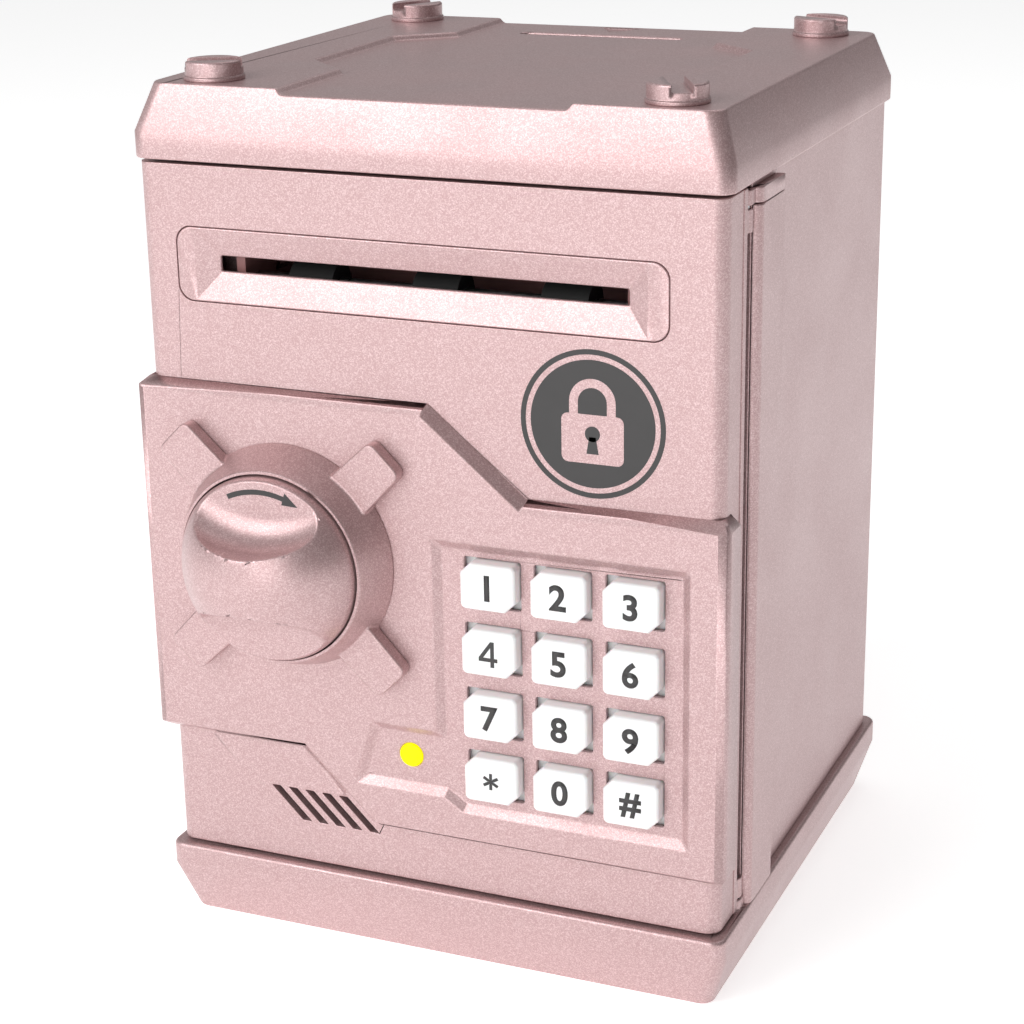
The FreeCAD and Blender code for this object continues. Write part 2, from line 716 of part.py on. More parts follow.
def top_bolts():
    bolts = []
    for (x, y), angle in zip(four(BOLT_X, BOLT_Y), BOLT_SLOT_ANGLES):
        crown = LID_TOP + BOLT_HEAD_HEIGHT
        flange = rod_z(BOLT_FLANGE_RADIUS, LID_TOP, LID_TOP + BOLT_FLANGE_HEIGHT, x, y)
        head = rod_z(BOLT_HEAD_RADIUS, LID_TOP, crown, x, y)
        head = top_rounded(head, crown, BOLT_CROWN_ROUND)
        shank = rod_z(BOLT_SHANK, LID_TOP - BOLT_SHANK_LENGTH, LID_TOP, x, y)
        channel = block(
            x - BOLT_FLANGE_RADIUS, x + BOLT_FLANGE_RADIUS, y - BOLT_SLOT_HALF, y + BOLT_SLOT_HALF,
            LID_TOP + BOLT_SLOT_FLOOR, crown)
        channel.rotate(vec(x, y, 0), vec(0, 0, 1), angle)
        bolts.append(minus(joined([flange, head, shank]), [channel]))
    return Part.makeCompound(bolts)


def cover_screws():
    under = HOUSING_TOP - TAB_THICKNESS - SCREW_HEAD_HEIGHT
    return Part.makeCompound([
        screw_z(side * TAB_X, y, under, HOUSING_TOP + COVER_SCREW_REACH)
        for side in (-1, 1) for y in (TAB_FRONT, TAB_REAR)
    ])


# ---- door ----
def key_window(front, rear):
    """Block that covers all twelve key places between two depths."""
    return block(
        KEY_COLUMNS[0] - KEY_WINDOW_MARGIN, KEY_COLUMNS[-1] + KEY_WINDOW_MARGIN, front, rear,
        KEY_ROWS[-1] - KEY_WINDOW_RISE, KEY_ROWS[0] + KEY_WINDOW_RISE)


def door_shell():
    outer = prism_z([
        (-DOOR_HALF, DOOR_FACE), (DOOR_HALF, DOOR_FACE),
        (DOOR_HALF, COVER_FRONT), (-DOOR_HALF, COVER_FRONT),
    ], DOOR_BOTTOM, DOOR_TOP, [DOOR_CORNER, DOOR_CORNER, 0, 0])
    inside = DOOR_HALF - WALL
    inner = prism_z([
        (-inside, DOOR_FACE + WALL), (inside, DOOR_FACE + WALL),
        (inside, COVER_FRONT), (-inside, COVER_FRONT),
    ], DOOR_BOTTOM + WALL, DOOR_TOP - WALL, [DOOR_INNER_CORNER, DOOR_INNER_CORNER, 0, 0])
    pad = prism_y(PAD_OUTLINE, DOOR_FACE - PAD_RELIEF, DOOR_FACE + PAD_RELIEF, PAD_CORNER)
    bosses = [rod_y(DOOR_BOSS_RADIUS, DOOR_FACE + OVERCUT, COVER_FRONT, x, z) for x, z in DOOR_SCREWS]
    shell = joined([minus(outer, [inner]), pad] + bosses)
    seat = rectangle(
        BEZEL_HALF_WIDTH + BEZEL_SEAM, BEZEL_HALF_HEIGHT + BEZEL_SEAM, BEZEL_X, BEZEL_Z)
    tools = [
        prism_y(seat, DOOR_FACE, DOOR_FACE + BEZEL_PLATE, BEZEL_CORNER),
        prism_y(offset_outline(throat_outline(), BEZEL_THROAT_PLAY), DOOR_FACE, DOOR_FACE + WALL),
        key_window(DOOR_FACE, DOOR_FACE + WALL),
        rod_y(LED_RADIUS + LED_HOLE_GAP, DOOR_FACE, DOOR_FACE + WALL, LED_X, LED_Z),
        rod_y(SHAFT_RADIUS + SHAFT_HOLE_GAP, DOOR_FACE, DOOR_FACE + WALL, KNOB_X, KNOB_Z),
    ]
    for number in range(GRILLE_COUNT):
        left = GRILLE_LEFT + number * GRILLE_PITCH
        slant = [
            (left, GRILLE_TOP), (left + GRILLE_WIDTH, GRILLE_TOP),
            (left + GRILLE_WIDTH + GRILLE_DROP, GRILLE_TOP - GRILLE_DROP),
            (left + GRILLE_DROP, GRILLE_TOP - GRILLE_DROP),
        ]
        tools.append(prism_y(slant, DOOR_FACE - PAD_RELIEF, DOOR_FACE + WALL))
    core_end = DOOR_FACE + WALL + DOOR_CORE_GAP
    tools += [rod_y(SCREW_RADIUS, core_end, COVER_FRONT, x, z) for x, z in DOOR_SCREWS]
    return minus(shell, tools)


def panel_outline(grow):
    """Panel outline, high on the knob side and low on the keypad side; grow widens it up and down."""
    slant = PANEL_SLANT_SHARE * grow
    return [
        (-PANEL_HALF, PANEL_TOP_LEFT + grow),
        (-PANEL_HALF, PANEL_BOTTOM_LEFT - grow),
        (PANEL_STEP_BOTTOM[0] - slant, PANEL_BOTTOM_LEFT - grow),
        (PANEL_STEP_BOTTOM[1] - slant, PANEL_BOTTOM_RIGHT - grow),
        (PANEL_HALF, PANEL_BOTTOM_RIGHT - grow),
        (PANEL_HALF, PANEL_TOP_RIGHT + grow),
        (PANEL_STEP_TOP[1] + slant, PANEL_TOP_RIGHT + grow),
        (PANEL_STEP_TOP[0] + slant, PANEL_TOP_LEFT + grow),
    ]


def panel_corner_wedges():
    """Cuts that slope the wrapped side edges like the front bevel."""
    inner = PANEL_HALF - PANEL_CORNER_SLOPE
    wedges = []
    for side, top, bottom in (
            (-1, PANEL_TOP_LEFT, PANEL_BOTTOM_LEFT), (1, PANEL_TOP_RIGHT, PANEL_BOTTOM_RIGHT)):
        for edge, direction in ((top, 1), (bottom, -1)):
            wedge = [
                (side * PANEL_HALF, edge),
                (side * PANEL_HALF, edge + direction * PANEL_BEVEL),
                (side * inner, edge + direction * PANEL_BEVEL),
            ]
            wedges.append(prism_y(wedge, PANEL_FACE, PANEL_WRAP_REAR))
    return wedges


def lock_panel():
    foot = panel_outline(PANEL_BEVEL)
    sloped = taper_y(panel_outline(0.0), PANEL_FACE, foot, DOOR_FACE)
    straight = prism_y(foot, DOOR_FACE, PANEL_WRAP_REAR)
    envelope = prism_z([
        (-PANEL_HALF, PANEL_FACE), (PANEL_HALF, PANEL_FACE),
        (PANEL_HALF, PANEL_WRAP_REAR), (-PANEL_HALF, PANEL_WRAP_REAR),
    ], DOOR_BOTTOM, DOOR_TOP, [PANEL_CORNER, PANEL_CORNER, 0, 0])
    solid = joined([sloped, straight]).common(envelope)
    core = prism_z([
        (-DOOR_HALF, DOOR_FACE), (DOOR_HALF, DOOR_FACE),
        (DOOR_HALF, PANEL_WRAP_REAR), (-DOOR_HALF, PANEL_WRAP_REAR),
    ], DOOR_BOTTOM, DOOR_TOP, [DOOR_CORNER, DOOR_CORNER, 0, 0])
    outer = offset_outline(RECESS_OUTLINE, RECESS_BEVEL)
    recess = taper_y(outer, PANEL_FACE, RECESS_OUTLINE, RECESS_FLOOR, RECESS_CORNER)
    tools = [core, recess] + panel_corner_wedges()
    half_width = KEY_WIDTH / 2 + KEY_CLEARANCE
    half_height = KEY_HEIGHT / 2 + KEY_CLEARANCE
    for x in KEY_COLUMNS:
        for z in KEY_ROWS:
            hole = rectangle(half_width, half_height, x, z)
            tools.append(prism_y(hole, PANEL_FACE, DOOR_FACE, KEY_HOLE_CORNER))
    tools.append(rod_y(LED_RADIUS + LED_PLAY, PANEL_FACE, DOOR_FACE, LED_X, LED_Z))
    tools.append(rod_y(SHAFT_RADIUS + SHAFT_HOLE_GAP, PANEL_FACE, DOOR_FACE, KNOB_X, KNOB_Z))
    return minus(solid, tools)


def throat_outline():
    return rectangle(
        FUNNEL_HALF_WIDTH + BEZEL_THROAT_WIDER, FUNNEL_HALF_HEIGHT - BEZEL_THROAT_LOWER,
        BEZEL_X, BEZEL_Z)


def bill_slot_bezel():
    seat = rectangle(BEZEL_HALF_WIDTH, BEZEL_HALF_HEIGHT, BEZEL_X, BEZEL_Z)
    plate = prism_y(seat, DOOR_FACE, DOOR_FACE + BEZEL_PLATE, BEZEL_CORNER)
    box = prism_y(throat_outline(), DOOR_FACE + BEZEL_PLATE, BEZEL_REAR)
    mouth = rectangle(FUNNEL_HALF_WIDTH, FUNNEL_HALF_HEIGHT, BEZEL_X, BEZEL_Z)
    waist = rectangle(BILL_HALF_WIDTH, BILL_HALF_HEIGHT, BEZEL_X, BEZEL_Z)
    funnel = taper_y(mouth, DOOR_FACE, waist, DOOR_FACE + FUNNEL_DEPTH)
    slot = prism_y(waist, DOOR_FACE, BEZEL_REAR)
    return minus(joined([plate, box]), [funnel, slot])


def door_back_cover():
    half = DOOR_HALF + COVER_LIP
    plate = block(-half, half, COVER_FRONT, COVER_REAR, DOOR_BOTTOM, DOOR_TOP)
    barrels = []
    bores = []
    lower = HINGE_BLOCK_TOP + BARREL_GAP
    for start in (lower, POST_TOP - BARREL_LENGTH - BARREL_GAP):
        end = start + BARREL_LENGTH
        barrels.append(rod_z(BARREL_RADIUS, start, end, HINGE_X, HINGE_Y))
        barrels.append(block(
            HINGE_X - HINGE_WEB_LEFT, HINGE_X + HINGE_WEB_RIGHT,
            COVER_REAR - HINGE_WEB_DEPTH, HINGE_Y, start, end))
        bores.append(rod_z(HINGE_BORE, start, end, HINGE_X, HINGE_Y))
    window = block(
        MECHANISM_LEFT + MECHANISM_WALL, MECHANISM_RIGHT - MECHANISM_WALL, COVER_FRONT, COVER_REAR,
        MECHANISM_BOTTOM + MECHANISM_WALL, MECHANISM_TOP - MECHANISM_WALL)
    bearing = rod_y(SHAFT_RADIUS + RUNNING_CLEARANCE, COVER_FRONT, COVER_REAR, KNOB_X, KNOB_Z)
    tools = bores + [window, bearing]
    for x, z in DOOR_SCREWS:
        tools.append(rod_y(SCREW_HEAD + SCREW_HEAD_GAP, COVER_REAR - SCREW_HEAD_HEIGHT, COVER_REAR, x, z))
        tools.append(rod_y(SCREW_RADIUS + SCREW_HOLE_GAP, COVER_FRONT, COVER_REAR, x, z))
    return minus(joined([plate] + barrels), tools)


def door_screws():
    tip = DOOR_FACE + WALL + SCREW_CORE_GAP
    return Part.makeCompound([screw_y(x, z, COVER_REAR, tip) for x, z in DOOR_SCREWS])


# ---- knob ----
def cone_and_arms():
    cone = Part.makeCone(
        CONE_FOOT, CONE_RIM, PANEL_FACE - CONE_FACE, vec(KNOB_X, PANEL_FACE, KNOB_Z), vec(0, -1, 0))
    pieces = [cone]
    for number in range(4):
        arm = prism_y([
            (0, -ARM_ROOT_HALF), (ARM_TIP, -ARM_TIP_HALF),
            (ARM_TIP, ARM_TIP_HALF), (0, ARM_ROOT_HALF),
        ], ARM_FACE, PANEL_FACE, [0, ARM_ROUND, ARM_ROUND, 0])
        arm.rotate(vec(0, 0, 0), vec(0, -1, 0), 45 + 90 * number)
        arm.translate(vec(KNOB_X, 0, KNOB_Z))
        pieces.append(arm)
    return joined(pieces)


def knob_escutcheon():
    cup = rod_y(DIAL_BORE, CONE_FACE, CONE_FLOOR, KNOB_X, KNOB_Z)
    bore = rod_y(SHAFT_RADIUS + RUNNING_CLEARANCE, CONE_FLOOR, PANEL_FACE, KNOB_X, KNOB_Z)
    return minus(cone_and_arms(), [cup, bore])


def finger_scoop(side):
    """Round-bottomed cutter that leaves one hollow flank of the dial's grip bar."""
    foot = SCOOP_RADIUS - SCOOP_FILLET
    spring = SCOOP_FLOOR - SCOOP_FILLET
    lean = SCOOP_FILLET * math.sqrt(0.5)
    profile = Part.Wire([
        Part.LineSegment(vec(0, SCOOP_FRONT, 0), vec(SCOOP_RADIUS, SCOOP_FRONT, 0)).toShape(),
        Part.LineSegment(vec(SCOOP_RADIUS, SCOOP_FRONT, 0), vec(SCOOP_RADIUS, spring, 0)).toShape(),
        Part.Arc(
            vec(SCOOP_RADIUS, spring, 0), vec(foot + lean, spring + lean, 0),
            vec(foot, SCOOP_FLOOR, 0)).toShape(),
        Part.LineSegment(vec(foot, SCOOP_FLOOR, 0), vec(0, SCOOP_FLOOR, 0)).toShape(),
        Part.LineSegment(vec(0, SCOOP_FLOOR, 0), vec(0, SCOOP_FRONT, 0)).toShape(),
    ])
    cutter = Part.Face(profile).revolve(vec(0, 0, 0), vec(0, 1, 0), 360)
    cutter.translate(vec(KNOB_X, 0, KNOB_Z + side * (GRIP_HALF + SCOOP_RADIUS)))
    return cutter


def knob_dial():
    height = DIAL_EDGE - DIAL_APEX
    curve = (DIAL_RADIUS ** 2 + height ** 2) / (2 * height)
    centre = DIAL_APEX + curve
    angle = math.asin(DIAL_RADIUS / curve) / 2
    middle = vec(curve * math.sin(angle), centre - curve * math.cos(angle), 0)
    start = vec(DIAL_RADIUS, DIAL_EDGE, 0)
    apex = vec(0, DIAL_APEX, 0)
    corner = vec(DIAL_RADIUS, DIAL_BACK, 0)
    back = vec(0, DIAL_BACK, 0)
    profile = Part.Wire([
        Part.LineSegment(back, corner).toShape(),
        Part.LineSegment(corner, start).toShape(),
        Part.Arc(start, middle, apex).toShape(),
        Part.LineSegment(apex, back).toShape(),
    ])
    dome = Part.Face(profile).revolve(vec(0, 0, 0), vec(0, 1, 0), 360)
    dome.translate(vec(KNOB_X, 0, KNOB_Z))
    socket = rod_y(SHAFT_RADIUS, DIAL_BACK - DIAL_SOCKET, DIAL_BACK, KNOB_X, KNOB_Z)
    return minus(dome, [finger_scoop(-1), finger_scoop(1), socket])


def knob_shaft():
    shaft = rod_y(SHAFT_RADIUS, DIAL_BACK - DIAL_SOCKET, CAM_FRONT, KNOB_X, KNOB_Z)
    neck = rod_y(CAM_NECK, CAM_FRONT, CAM_REAR, KNOB_X, KNOB_Z)
    core = rod_y(CAM_SCREW, CAM_REAR - CAM_SCREW_DEPTH, CAM_REAR, KNOB_X, KNOB_Z)
    return minus(joined([shaft, neck]), [core])


def knob_cam():
    disc = rod_y(CAM_RADIUS, CAM_FRONT, CAM_REAR, KNOB_X, KNOB_Z)
    crank = rod_y(CRANK_PIN, CAM_REAR, LATCH_REAR + CRANK_OVERHANG, KNOB_X, KNOB_Z + CRANK_RADIUS)
    bore = rod_y(CAM_NECK, CAM_FRONT, CAM_REAR, KNOB_X, KNOB_Z)
    notches = []
    for turn in (0.0, -KNOB_SWING):
        notch = block(
            KNOB_X - NOTCH_WIDTH / 2, KNOB_X + NOTCH_WIDTH / 2, CAM_FRONT, CAM_REAR,
            KNOB_Z - CAM_RADIUS - OVERCUT, KNOB_Z - CAM_RADIUS + NOTCH_DEPTH)
        notch.rotate(vec(KNOB_X, 0, KNOB_Z), vec(0, -1, 0), turn)
        notches.append(notch)
    return minus(joined([disc, crank]), [bore] + notches)


def knob_screw():
    head_rear = CAM_REAR + CAM_SCREW_HEAD_HEIGHT
    head = rod_y(CAM_SCREW_HEAD, CAM_REAR, head_rear, KNOB_X, KNOB_Z)
    shank = rod_y(CAM_SCREW, CAM_REAR - CAM_SCREW_DEPTH, CAM_REAR, KNOB_X, KNOB_Z)
    slot = block(
        KNOB_X - CAM_SCREW_HEAD, KNOB_X + CAM_SCREW_HEAD,
        CAM_REAR + CAM_SCREW_HEAD_HEIGHT / 2, head_rear,
        KNOB_Z - CROSS_WIDTH / 2, KNOB_Z + CROSS_WIDTH / 2)
    return minus(joined([head, shank]), [slot])


# ---- latch ----
def latch_bolt():
    bar = block(LATCH_TIP, LATCH_END, LATCH_FRONT, LATCH_REAR, LATCH_BOTTOM, LATCH_TOP)
    fork = block(
        KNOB_X - CRANK_SLOT_HALF, KNOB_X + CRANK_SLOT_HALF, LATCH_FRONT, LATCH_REAR,
        LATCH_BOTTOM, KNOB_Z + CRANK_RADIUS + CRANK_PIN + LATCH_FORK_ROOM)
    bevel = prism_z([
        (LATCH_TIP, LATCH_REAR - LATCH_RAMP_DEPTH), (LATCH_TIP + LATCH_RAMP_LENGTH, LATCH_REAR),
        (LATCH_TIP, LATCH_REAR),
    ], LATCH_BOTTOM, LATCH_TOP)
    return minus(bar, [fork, bevel])


def latch_guide():
    rear = LATCH_REAR + GUIDE_GAP
    outer_rear = rear + GUIDE_WALL
    low = LATCH_BOTTOM - GUIDE_FOOT
    high = LATCH_TOP + GUIDE_FOOT
    top = block(GUIDE_LEFT, GUIDE_RIGHT, COVER_REAR, outer_rear, LATCH_TOP + GUIDE_GAP, high)
    bottom = block(GUIDE_LEFT, GUIDE_RIGHT, COVER_REAR, outer_rear, low, LATCH_BOTTOM - GUIDE_GAP)
    bridge = block(GUIDE_LEFT, GUIDE_RIGHT, rear, outer_rear, low, high)
    return joined([top, bottom, bridge])


def solenoid_body():
    left = KNOB_X - SOLENOID_HALF
    right = KNOB_X + SOLENOID_HALF
    coil_bottom = SOLENOID_BOTTOM + SOLENOID_LEAF
    coil_top = SOLENOID_TOP - SOLENOID_LEAF
    frame = block(left, right, COVER_REAR, SOLENOID_REAR, SOLENOID_BOTTOM, SOLENOID_TOP)
    coil_gap = block(left, right, COVER_REAR, SOLENOID_REAR, coil_bottom, coil_top)
    coil = rod_z(COIL_RADIUS, coil_bottom, coil_top, KNOB_X, COIL_Y)
    spine = block(
        KNOB_X - COIL_RADIUS, KNOB_X + COIL_RADIUS, COVER_REAR, COIL_Y, coil_bottom, coil_top)
    bore = rod_z(PLUNGER_RADIUS + RUNNING_CLEARANCE, coil_bottom, SOLENOID_TOP, KNOB_X, PLUNGER_Y)
    return minus(joined([minus(frame, [coil_gap]), coil, spine]), [bore])


def lock_plunger():
    return rod_z(PLUNGER_RADIUS, SOLENOID_BOTTOM + PLUNGER_BURIED, PLUNGER_TIP, KNOB_X, PLUNGER_Y)


# ---- keypad ----
def key_cap(x, z):
    half_width = KEY_WIDTH / 2
    half_height = KEY_HEIGHT / 2
    outline = [
        (x - half_width, z - half_height),
        (x + half_width - KEY_CHAMFER, z - half_height),
        (x + half_width, z - half_height + KEY_CHAMFER),
        (x + half_width, z + half_height),
        (x - half_width + KEY_CHAMFER, z + half_height),
        (x - half_width, z + half_height - KEY_CHAMFER),
    ]
    corners = [KEY_ROUND, KEY_CUT_ROUND, KEY_CUT_ROUND] * 2
    cap = prism_y(outline, KEY_FACE, KEY_FLANGE_FRONT, corners)
    rim = [edge for edge in cap.Edges if edge.BoundBox.YMax < KEY_FACE + 1e-4]
    cap = cap.makeFillet(KEY_EDGE, rim)
    flange = prism_y(
        rectangle(half_width + KEY_FLANGE, half_height + KEY_FLANGE, x, z),
        KEY_FLANGE_FRONT, KEY_FLANGE_REAR, KEY_FLANGE_CORNER)
    return joined([cap, flange])


def key_membrane():
    return key_window(MEMBRANE_FRONT, MEMBRANE_REAR)


def circuit_board():
    board = block(
        LED_X - BOARD_LEFT_MARGIN, KEY_COLUMNS[-1] + BOARD_RIGHT_MARGIN, MEMBRANE_REAR, BOARD_REAR,
        KEY_ROWS[-1] - BOARD_RISE, KEY_ROWS[0] + BOARD_RISE)
    chip = block(
        CHIP_LEFT, CHIP_RIGHT, BOARD_REAR, BOARD_REAR + CHIP_THICKNESS, CHIP_BOTTOM, CHIP_TOP)
    return joined([board, chip])


def led_lens():
    front = RECESS_FLOOR - LED_PROUD
    collar = rod_y(LED_RADIUS + LED_COLLAR, LED_COLLAR_FRONT, LED_COLLAR_REAR, LED_X, LED_Z)
    stem = rod_y(LED_RADIUS, front, MEMBRANE_REAR, LED_X, LED_Z)
    rim = [edge for edge in stem.Edges if edge.BoundBox.YMax < front + 1e-4]
    return joined([stem.makeFillet(LED_ROUND, rim), collar])


def speaker():
    front = DOOR_FACE + WALL
    rim_rear = front + SPEAKER_RIM_DEPTH
    plate_rear = front + SPEAKER_PLATE_DEPTH
    plate = rod_y(SPEAKER_RADIUS, rim_rear, plate_rear, SPEAKER_X, SPEAKER_Z)
    magnet = rod_y(SPEAKER_MAGNET, plate_rear, front + SPEAKER_DEPTH, SPEAKER_X, SPEAKER_Z)
    ring = rod_y(SPEAKER_RADIUS, front, rim_rear, SPEAKER_X, SPEAKER_Z)
    hole = rod_y(SPEAKER_RADIUS - SPEAKER_RIM, front, rim_rear, SPEAKER_X, SPEAKER_Z)
    return joined([plate, magnet, minus(ring, [hole])])


# ---- batteries ----
def cell_heights():
    return [CELL_BOTTOM + number * CELL_PITCH for number in range(3)]


def battery_box():
    outer = block(BOX_LEFT, BOX_RIGHT, COVER_REAR, BOX_REAR, BOX_BOTTOM, BOX_TOP)
    inner = block(
        BOX_LEFT + BOX_WALL, BOX_RIGHT - BOX_WALL, COVER_REAR + BOX_FLOOR, BOX_REAR,
        BOX_BOTTOM + BOX_WALL, BOX_TOP - BOX_WALL)
    boss = rod_y(HATCH_BOSS, COVER_REAR, BOX_REAR, CELL_CENTRE_X, HATCH_SCREW_Z)
    core = rod_y(SCREW_RADIUS, BOX_REAR - HATCH_SCREW_DEPTH, BOX_REAR, CELL_CENTRE_X, HATCH_SCREW_Z)
    return minus(joined([minus(outer, [inner]), boss]), [core])


def batteries():
    cells = []
    start = CELL_CENTRE_X - CELL_LENGTH / 2
    shoulder = start + CELL_LENGTH - CELL_NUB
    for number, z in enumerate(cell_heights()):
        can = rod_x(CELL_RADIUS, start, shoulder, CELL_Y, z)
        nub = rod_x(CELL_NUB_RADIUS, shoulder, start + CELL_LENGTH, CELL_Y, z)
        cell = joined([can, nub])
        if number % 2:
            cell.rotate(vec(CELL_CENTRE_X, CELL_Y, z), vec(0, 0, 1), 180)
        cells.append(cell)
    return Part.makeCompound(cells)


def battery_contacts():
    left = BOX_LEFT + BOX_WALL
    right = BOX_RIGHT - BOX_WALL
    spans = ((left, left + CONTACT_THICKNESS), (right - CONTACT_THICKNESS, right))
    return Part.makeCompound([
        block(
            x0, x1, CELL_Y - CONTACT_HALF, CELL_Y + CONTACT_HALF,
            z - CONTACT_HALF, z + CONTACT_HALF)
        for z in cell_heights() for x0, x1 in spans
    ])


def battery_cover():
    inset = BOX_WALL + HATCH_LIP_GAP
    plate = block(BOX_LEFT, BOX_RIGHT, BOX_REAR, BATTERY_COVER_REAR, BOX_BOTTOM, HATCH_TOP)
    lip = block(
        BOX_LEFT + inset, BOX_RIGHT - inset, BOX_REAR - HATCH_LIP, BOX_REAR,
        BOX_BOTTOM + inset, BOX_TOP - inset)
    hole = rod_y(SCREW_RADIUS, BOX_REAR, BATTERY_COVER_REAR, CELL_CENTRE_X, HATCH_SCREW_Z)
    return minus(joined([plate, lip]), [hole])


def battery_cover_screw():
    head_rear = BATTERY_COVER_REAR + HATCH_HEAD_HEIGHT
    head = rod_y(HATCH_HEAD, BATTERY_COVER_REAR, head_rear, CELL_CENTRE_X, HATCH_SCREW_Z)
    shank = rod_y(SCREW_RADIUS, BOX_REAR, BATTERY_COVER_REAR, CELL_CENTRE_X, HATCH_SCREW_Z)
    tip = rod_y(
        SCREW_RADIUS - RUNNING_CLEARANCE, BOX_REAR - HATCH_SCREW_LENGTH, BOX_REAR,
        CELL_CENTRE_X, HATCH_SCREW_Z)
    slot = block(
        CELL_CENTRE_X - HATCH_HEAD, CELL_CENTRE_X + HATCH_HEAD,
        head_rear - HATCH_HEAD_HEIGHT / 2, head_rear,
        HATCH_SCREW_Z - CROSS_WIDTH / 2, HATCH_SCREW_Z + CROSS_WIDTH / 2)
    return minus(joined([head, shank, tip]), [slot])


# ---- bill feed ----
def mechanism_cover():
    outer = block(
        MECHANISM_LEFT, MECHANISM_RIGHT, COVER_REAR, MECHANISM_REAR, MECHANISM_BOTTOM, MECHANISM_TOP)
    inner = block(
        MECHANISM_LEFT + MECHANISM_WALL, MECHANISM_RIGHT - MECHANISM_WALL, COVER_REAR,
        MECHANISM_REAR - MECHANISM_WALL, MECHANISM_BOTTOM + MECHANISM_WALL, MECHANISM_TOP - MECHANISM_WALL)
    exit_slot = block(
        BEZEL_X - BILL_HALF_WIDTH, BEZEL_X + BILL_HALF_WIDTH, MECHANISM_REAR - MECHANISM_WALL,
        MECHANISM_REAR, BEZEL_Z - BILL_EXIT_HALF, BEZEL_Z + BILL_EXIT_HALF)
    return minus(outer, [inner, exit_slot])


def roller_cradle():
    """Two bearing plates, a tie between them and a foot behind each one."""
    high = MECHANISM_TOP - MECHANISM_WALL
    sides = (
        (-CRADLE_OUTER, -CRADLE_INNER, CRADLE_LEFT_BOTTOM),
        (CRADLE_INNER, CRADLE_OUTER, MECHANISM_BOTTOM + MECHANISM_WALL),
    )
    pieces = [block(
        -CRADLE_INNER, CRADLE_INNER, CRADLE_REAR - CRADLE_TIE_DEPTH, CRADLE_REAR,
        high - CRADLE_TIE_THICKNESS, high)]
    for x0, x1, low in sides:
        pieces.append(block(x0, x1, CRADLE_FRONT, CRADLE_REAR, low, high))
        pieces.append(block(
            x0, x1, CRADLE_REAR, MECHANISM_REAR - MECHANISM_WALL,
            DRIVE_Z - CRADLE_FOOT_THICKNESS, DRIVE_Z))
    bores = [
        rod_x(FEED_SHAFT + RUNNING_CLEARANCE, -CRADLE_OUTER, CRADLE_OUTER, FEED_Y, DRIVE_Z),
        rod_x(FEED_SHAFT + RUNNING_CLEARANCE, -CRADLE_OUTER, CRADLE_OUTER, FEED_Y, IDLER_Z),
        rod_x(MOTOR_SHAFT + MOTOR_SHAFT_GAP, 0, CRADLE_OUTER, FEED_Y, PINION_Z),
    ]
    return minus(joined(pieces), bores)


def roller_set(radius, z):
    """Three rubber tyres on one shaft line."""
    tyres = []
    for x in ROLLER_PLACES:
        tyre = rod_x(radius, x - ROLLER_WIDTH / 2, x + ROLLER_WIDTH / 2, FEED_Y, z)
        tyres.append(minus(tyre, [rod_x(FEED_SHAFT, x - ROLLER_WIDTH, x + ROLLER_WIDTH, FEED_Y, z)]))
    return Part.makeCompound(tyres)


def drive_shaft():
    left = -CRADLE_OUTER - SHAFT_OVERHANG
    return rod_x(FEED_SHAFT, left, GEAR_BACK + GEAR_OVERHANG, FEED_Y, DRIVE_Z)


def idler_shaft():
    reach = CRADLE_OUTER + SHAFT_OVERHANG
    return rod_x(FEED_SHAFT, -reach, reach, FEED_Y, IDLER_Z)


def spur_gear(teeth, bore, z, first_tooth):
    """Spur gear along X, its teeth thinned for backlash."""
    pitch_radius = GEAR_MODULE * teeth / 2
    root = pitch_radius - TOOTH_ROOT * GEAR_MODULE
    tip = pitch_radius + TOOTH_TIP * GEAR_MODULE
    step = 2 * math.pi / teeth
    rising = [(radius, -share) for radius, share in zip((root, pitch_radius, tip), TOOTH_HALF_SHARES)]
    falling = [(radius, -share) for radius, share in reversed(rising)]
    flank = rising + falling
    points = []
    for number in range(teeth):
        for radius, share in flank:
            angle = first_tooth + (number + share) * step
            points.append((FEED_Y + radius * math.cos(angle), z + radius * math.sin(angle)))
    blank = prism_x(points, GEAR_FRONT, GEAR_BACK)
    if bore <= 0:
        return blank
    return minus(blank, [rod_x(bore, GEAR_FRONT, GEAR_BACK, FEED_Y, z)])


def drive_gear():
    return spur_gear(GEAR_TEETH, FEED_SHAFT, DRIVE_Z, -math.pi / 2)


def motor_pinion():
    pinion = spur_gear(PINION_TEETH, 0.0, PINION_Z, math.pi / 2 + math.pi / PINION_TEETH)
    shaft = rod_x(MOTOR_SHAFT, CRADLE_INNER - MOTOR_SHAFT_BURIED, GEAR_FRONT, FEED_Y, PINION_Z)
    return joined([pinion, shaft])


def feed_motor():
    can = rod_x(MOTOR_RADIUS, MOTOR_LEFT, CRADLE_INNER, FEED_Y, PINION_Z)
    cap = rod_x(MOTOR_CAP_RADIUS, MOTOR_LEFT - MOTOR_CAP_LENGTH, MOTOR_LEFT, FEED_Y, PINION_Z)
    bore = rod_x(
        MOTOR_SHAFT + RUNNING_CLEARANCE, CRADLE_INNER - MOTOR_BORE_DEPTH, CRADLE_INNER,
        FEED_Y, PINION_Z)
    return minus(joined([can, cap]), [bore])


def bill_guide():
    rear = MECHANISM_REAR - MECHANISM_WALL
    return Part.makeCompound([
        block(-CRADLE_INNER, CRADLE_INNER, CRADLE_REAR, rear, z0, z1)
        for z0, z1 in (
            (BEZEL_Z - BILL_GUIDE_OUTER, BEZEL_Z - BILL_GUIDE_INNER),
            (BEZEL_Z + BILL_GUIDE_INNER, BEZEL_Z + BILL_GUIDE_OUTER))
    ])


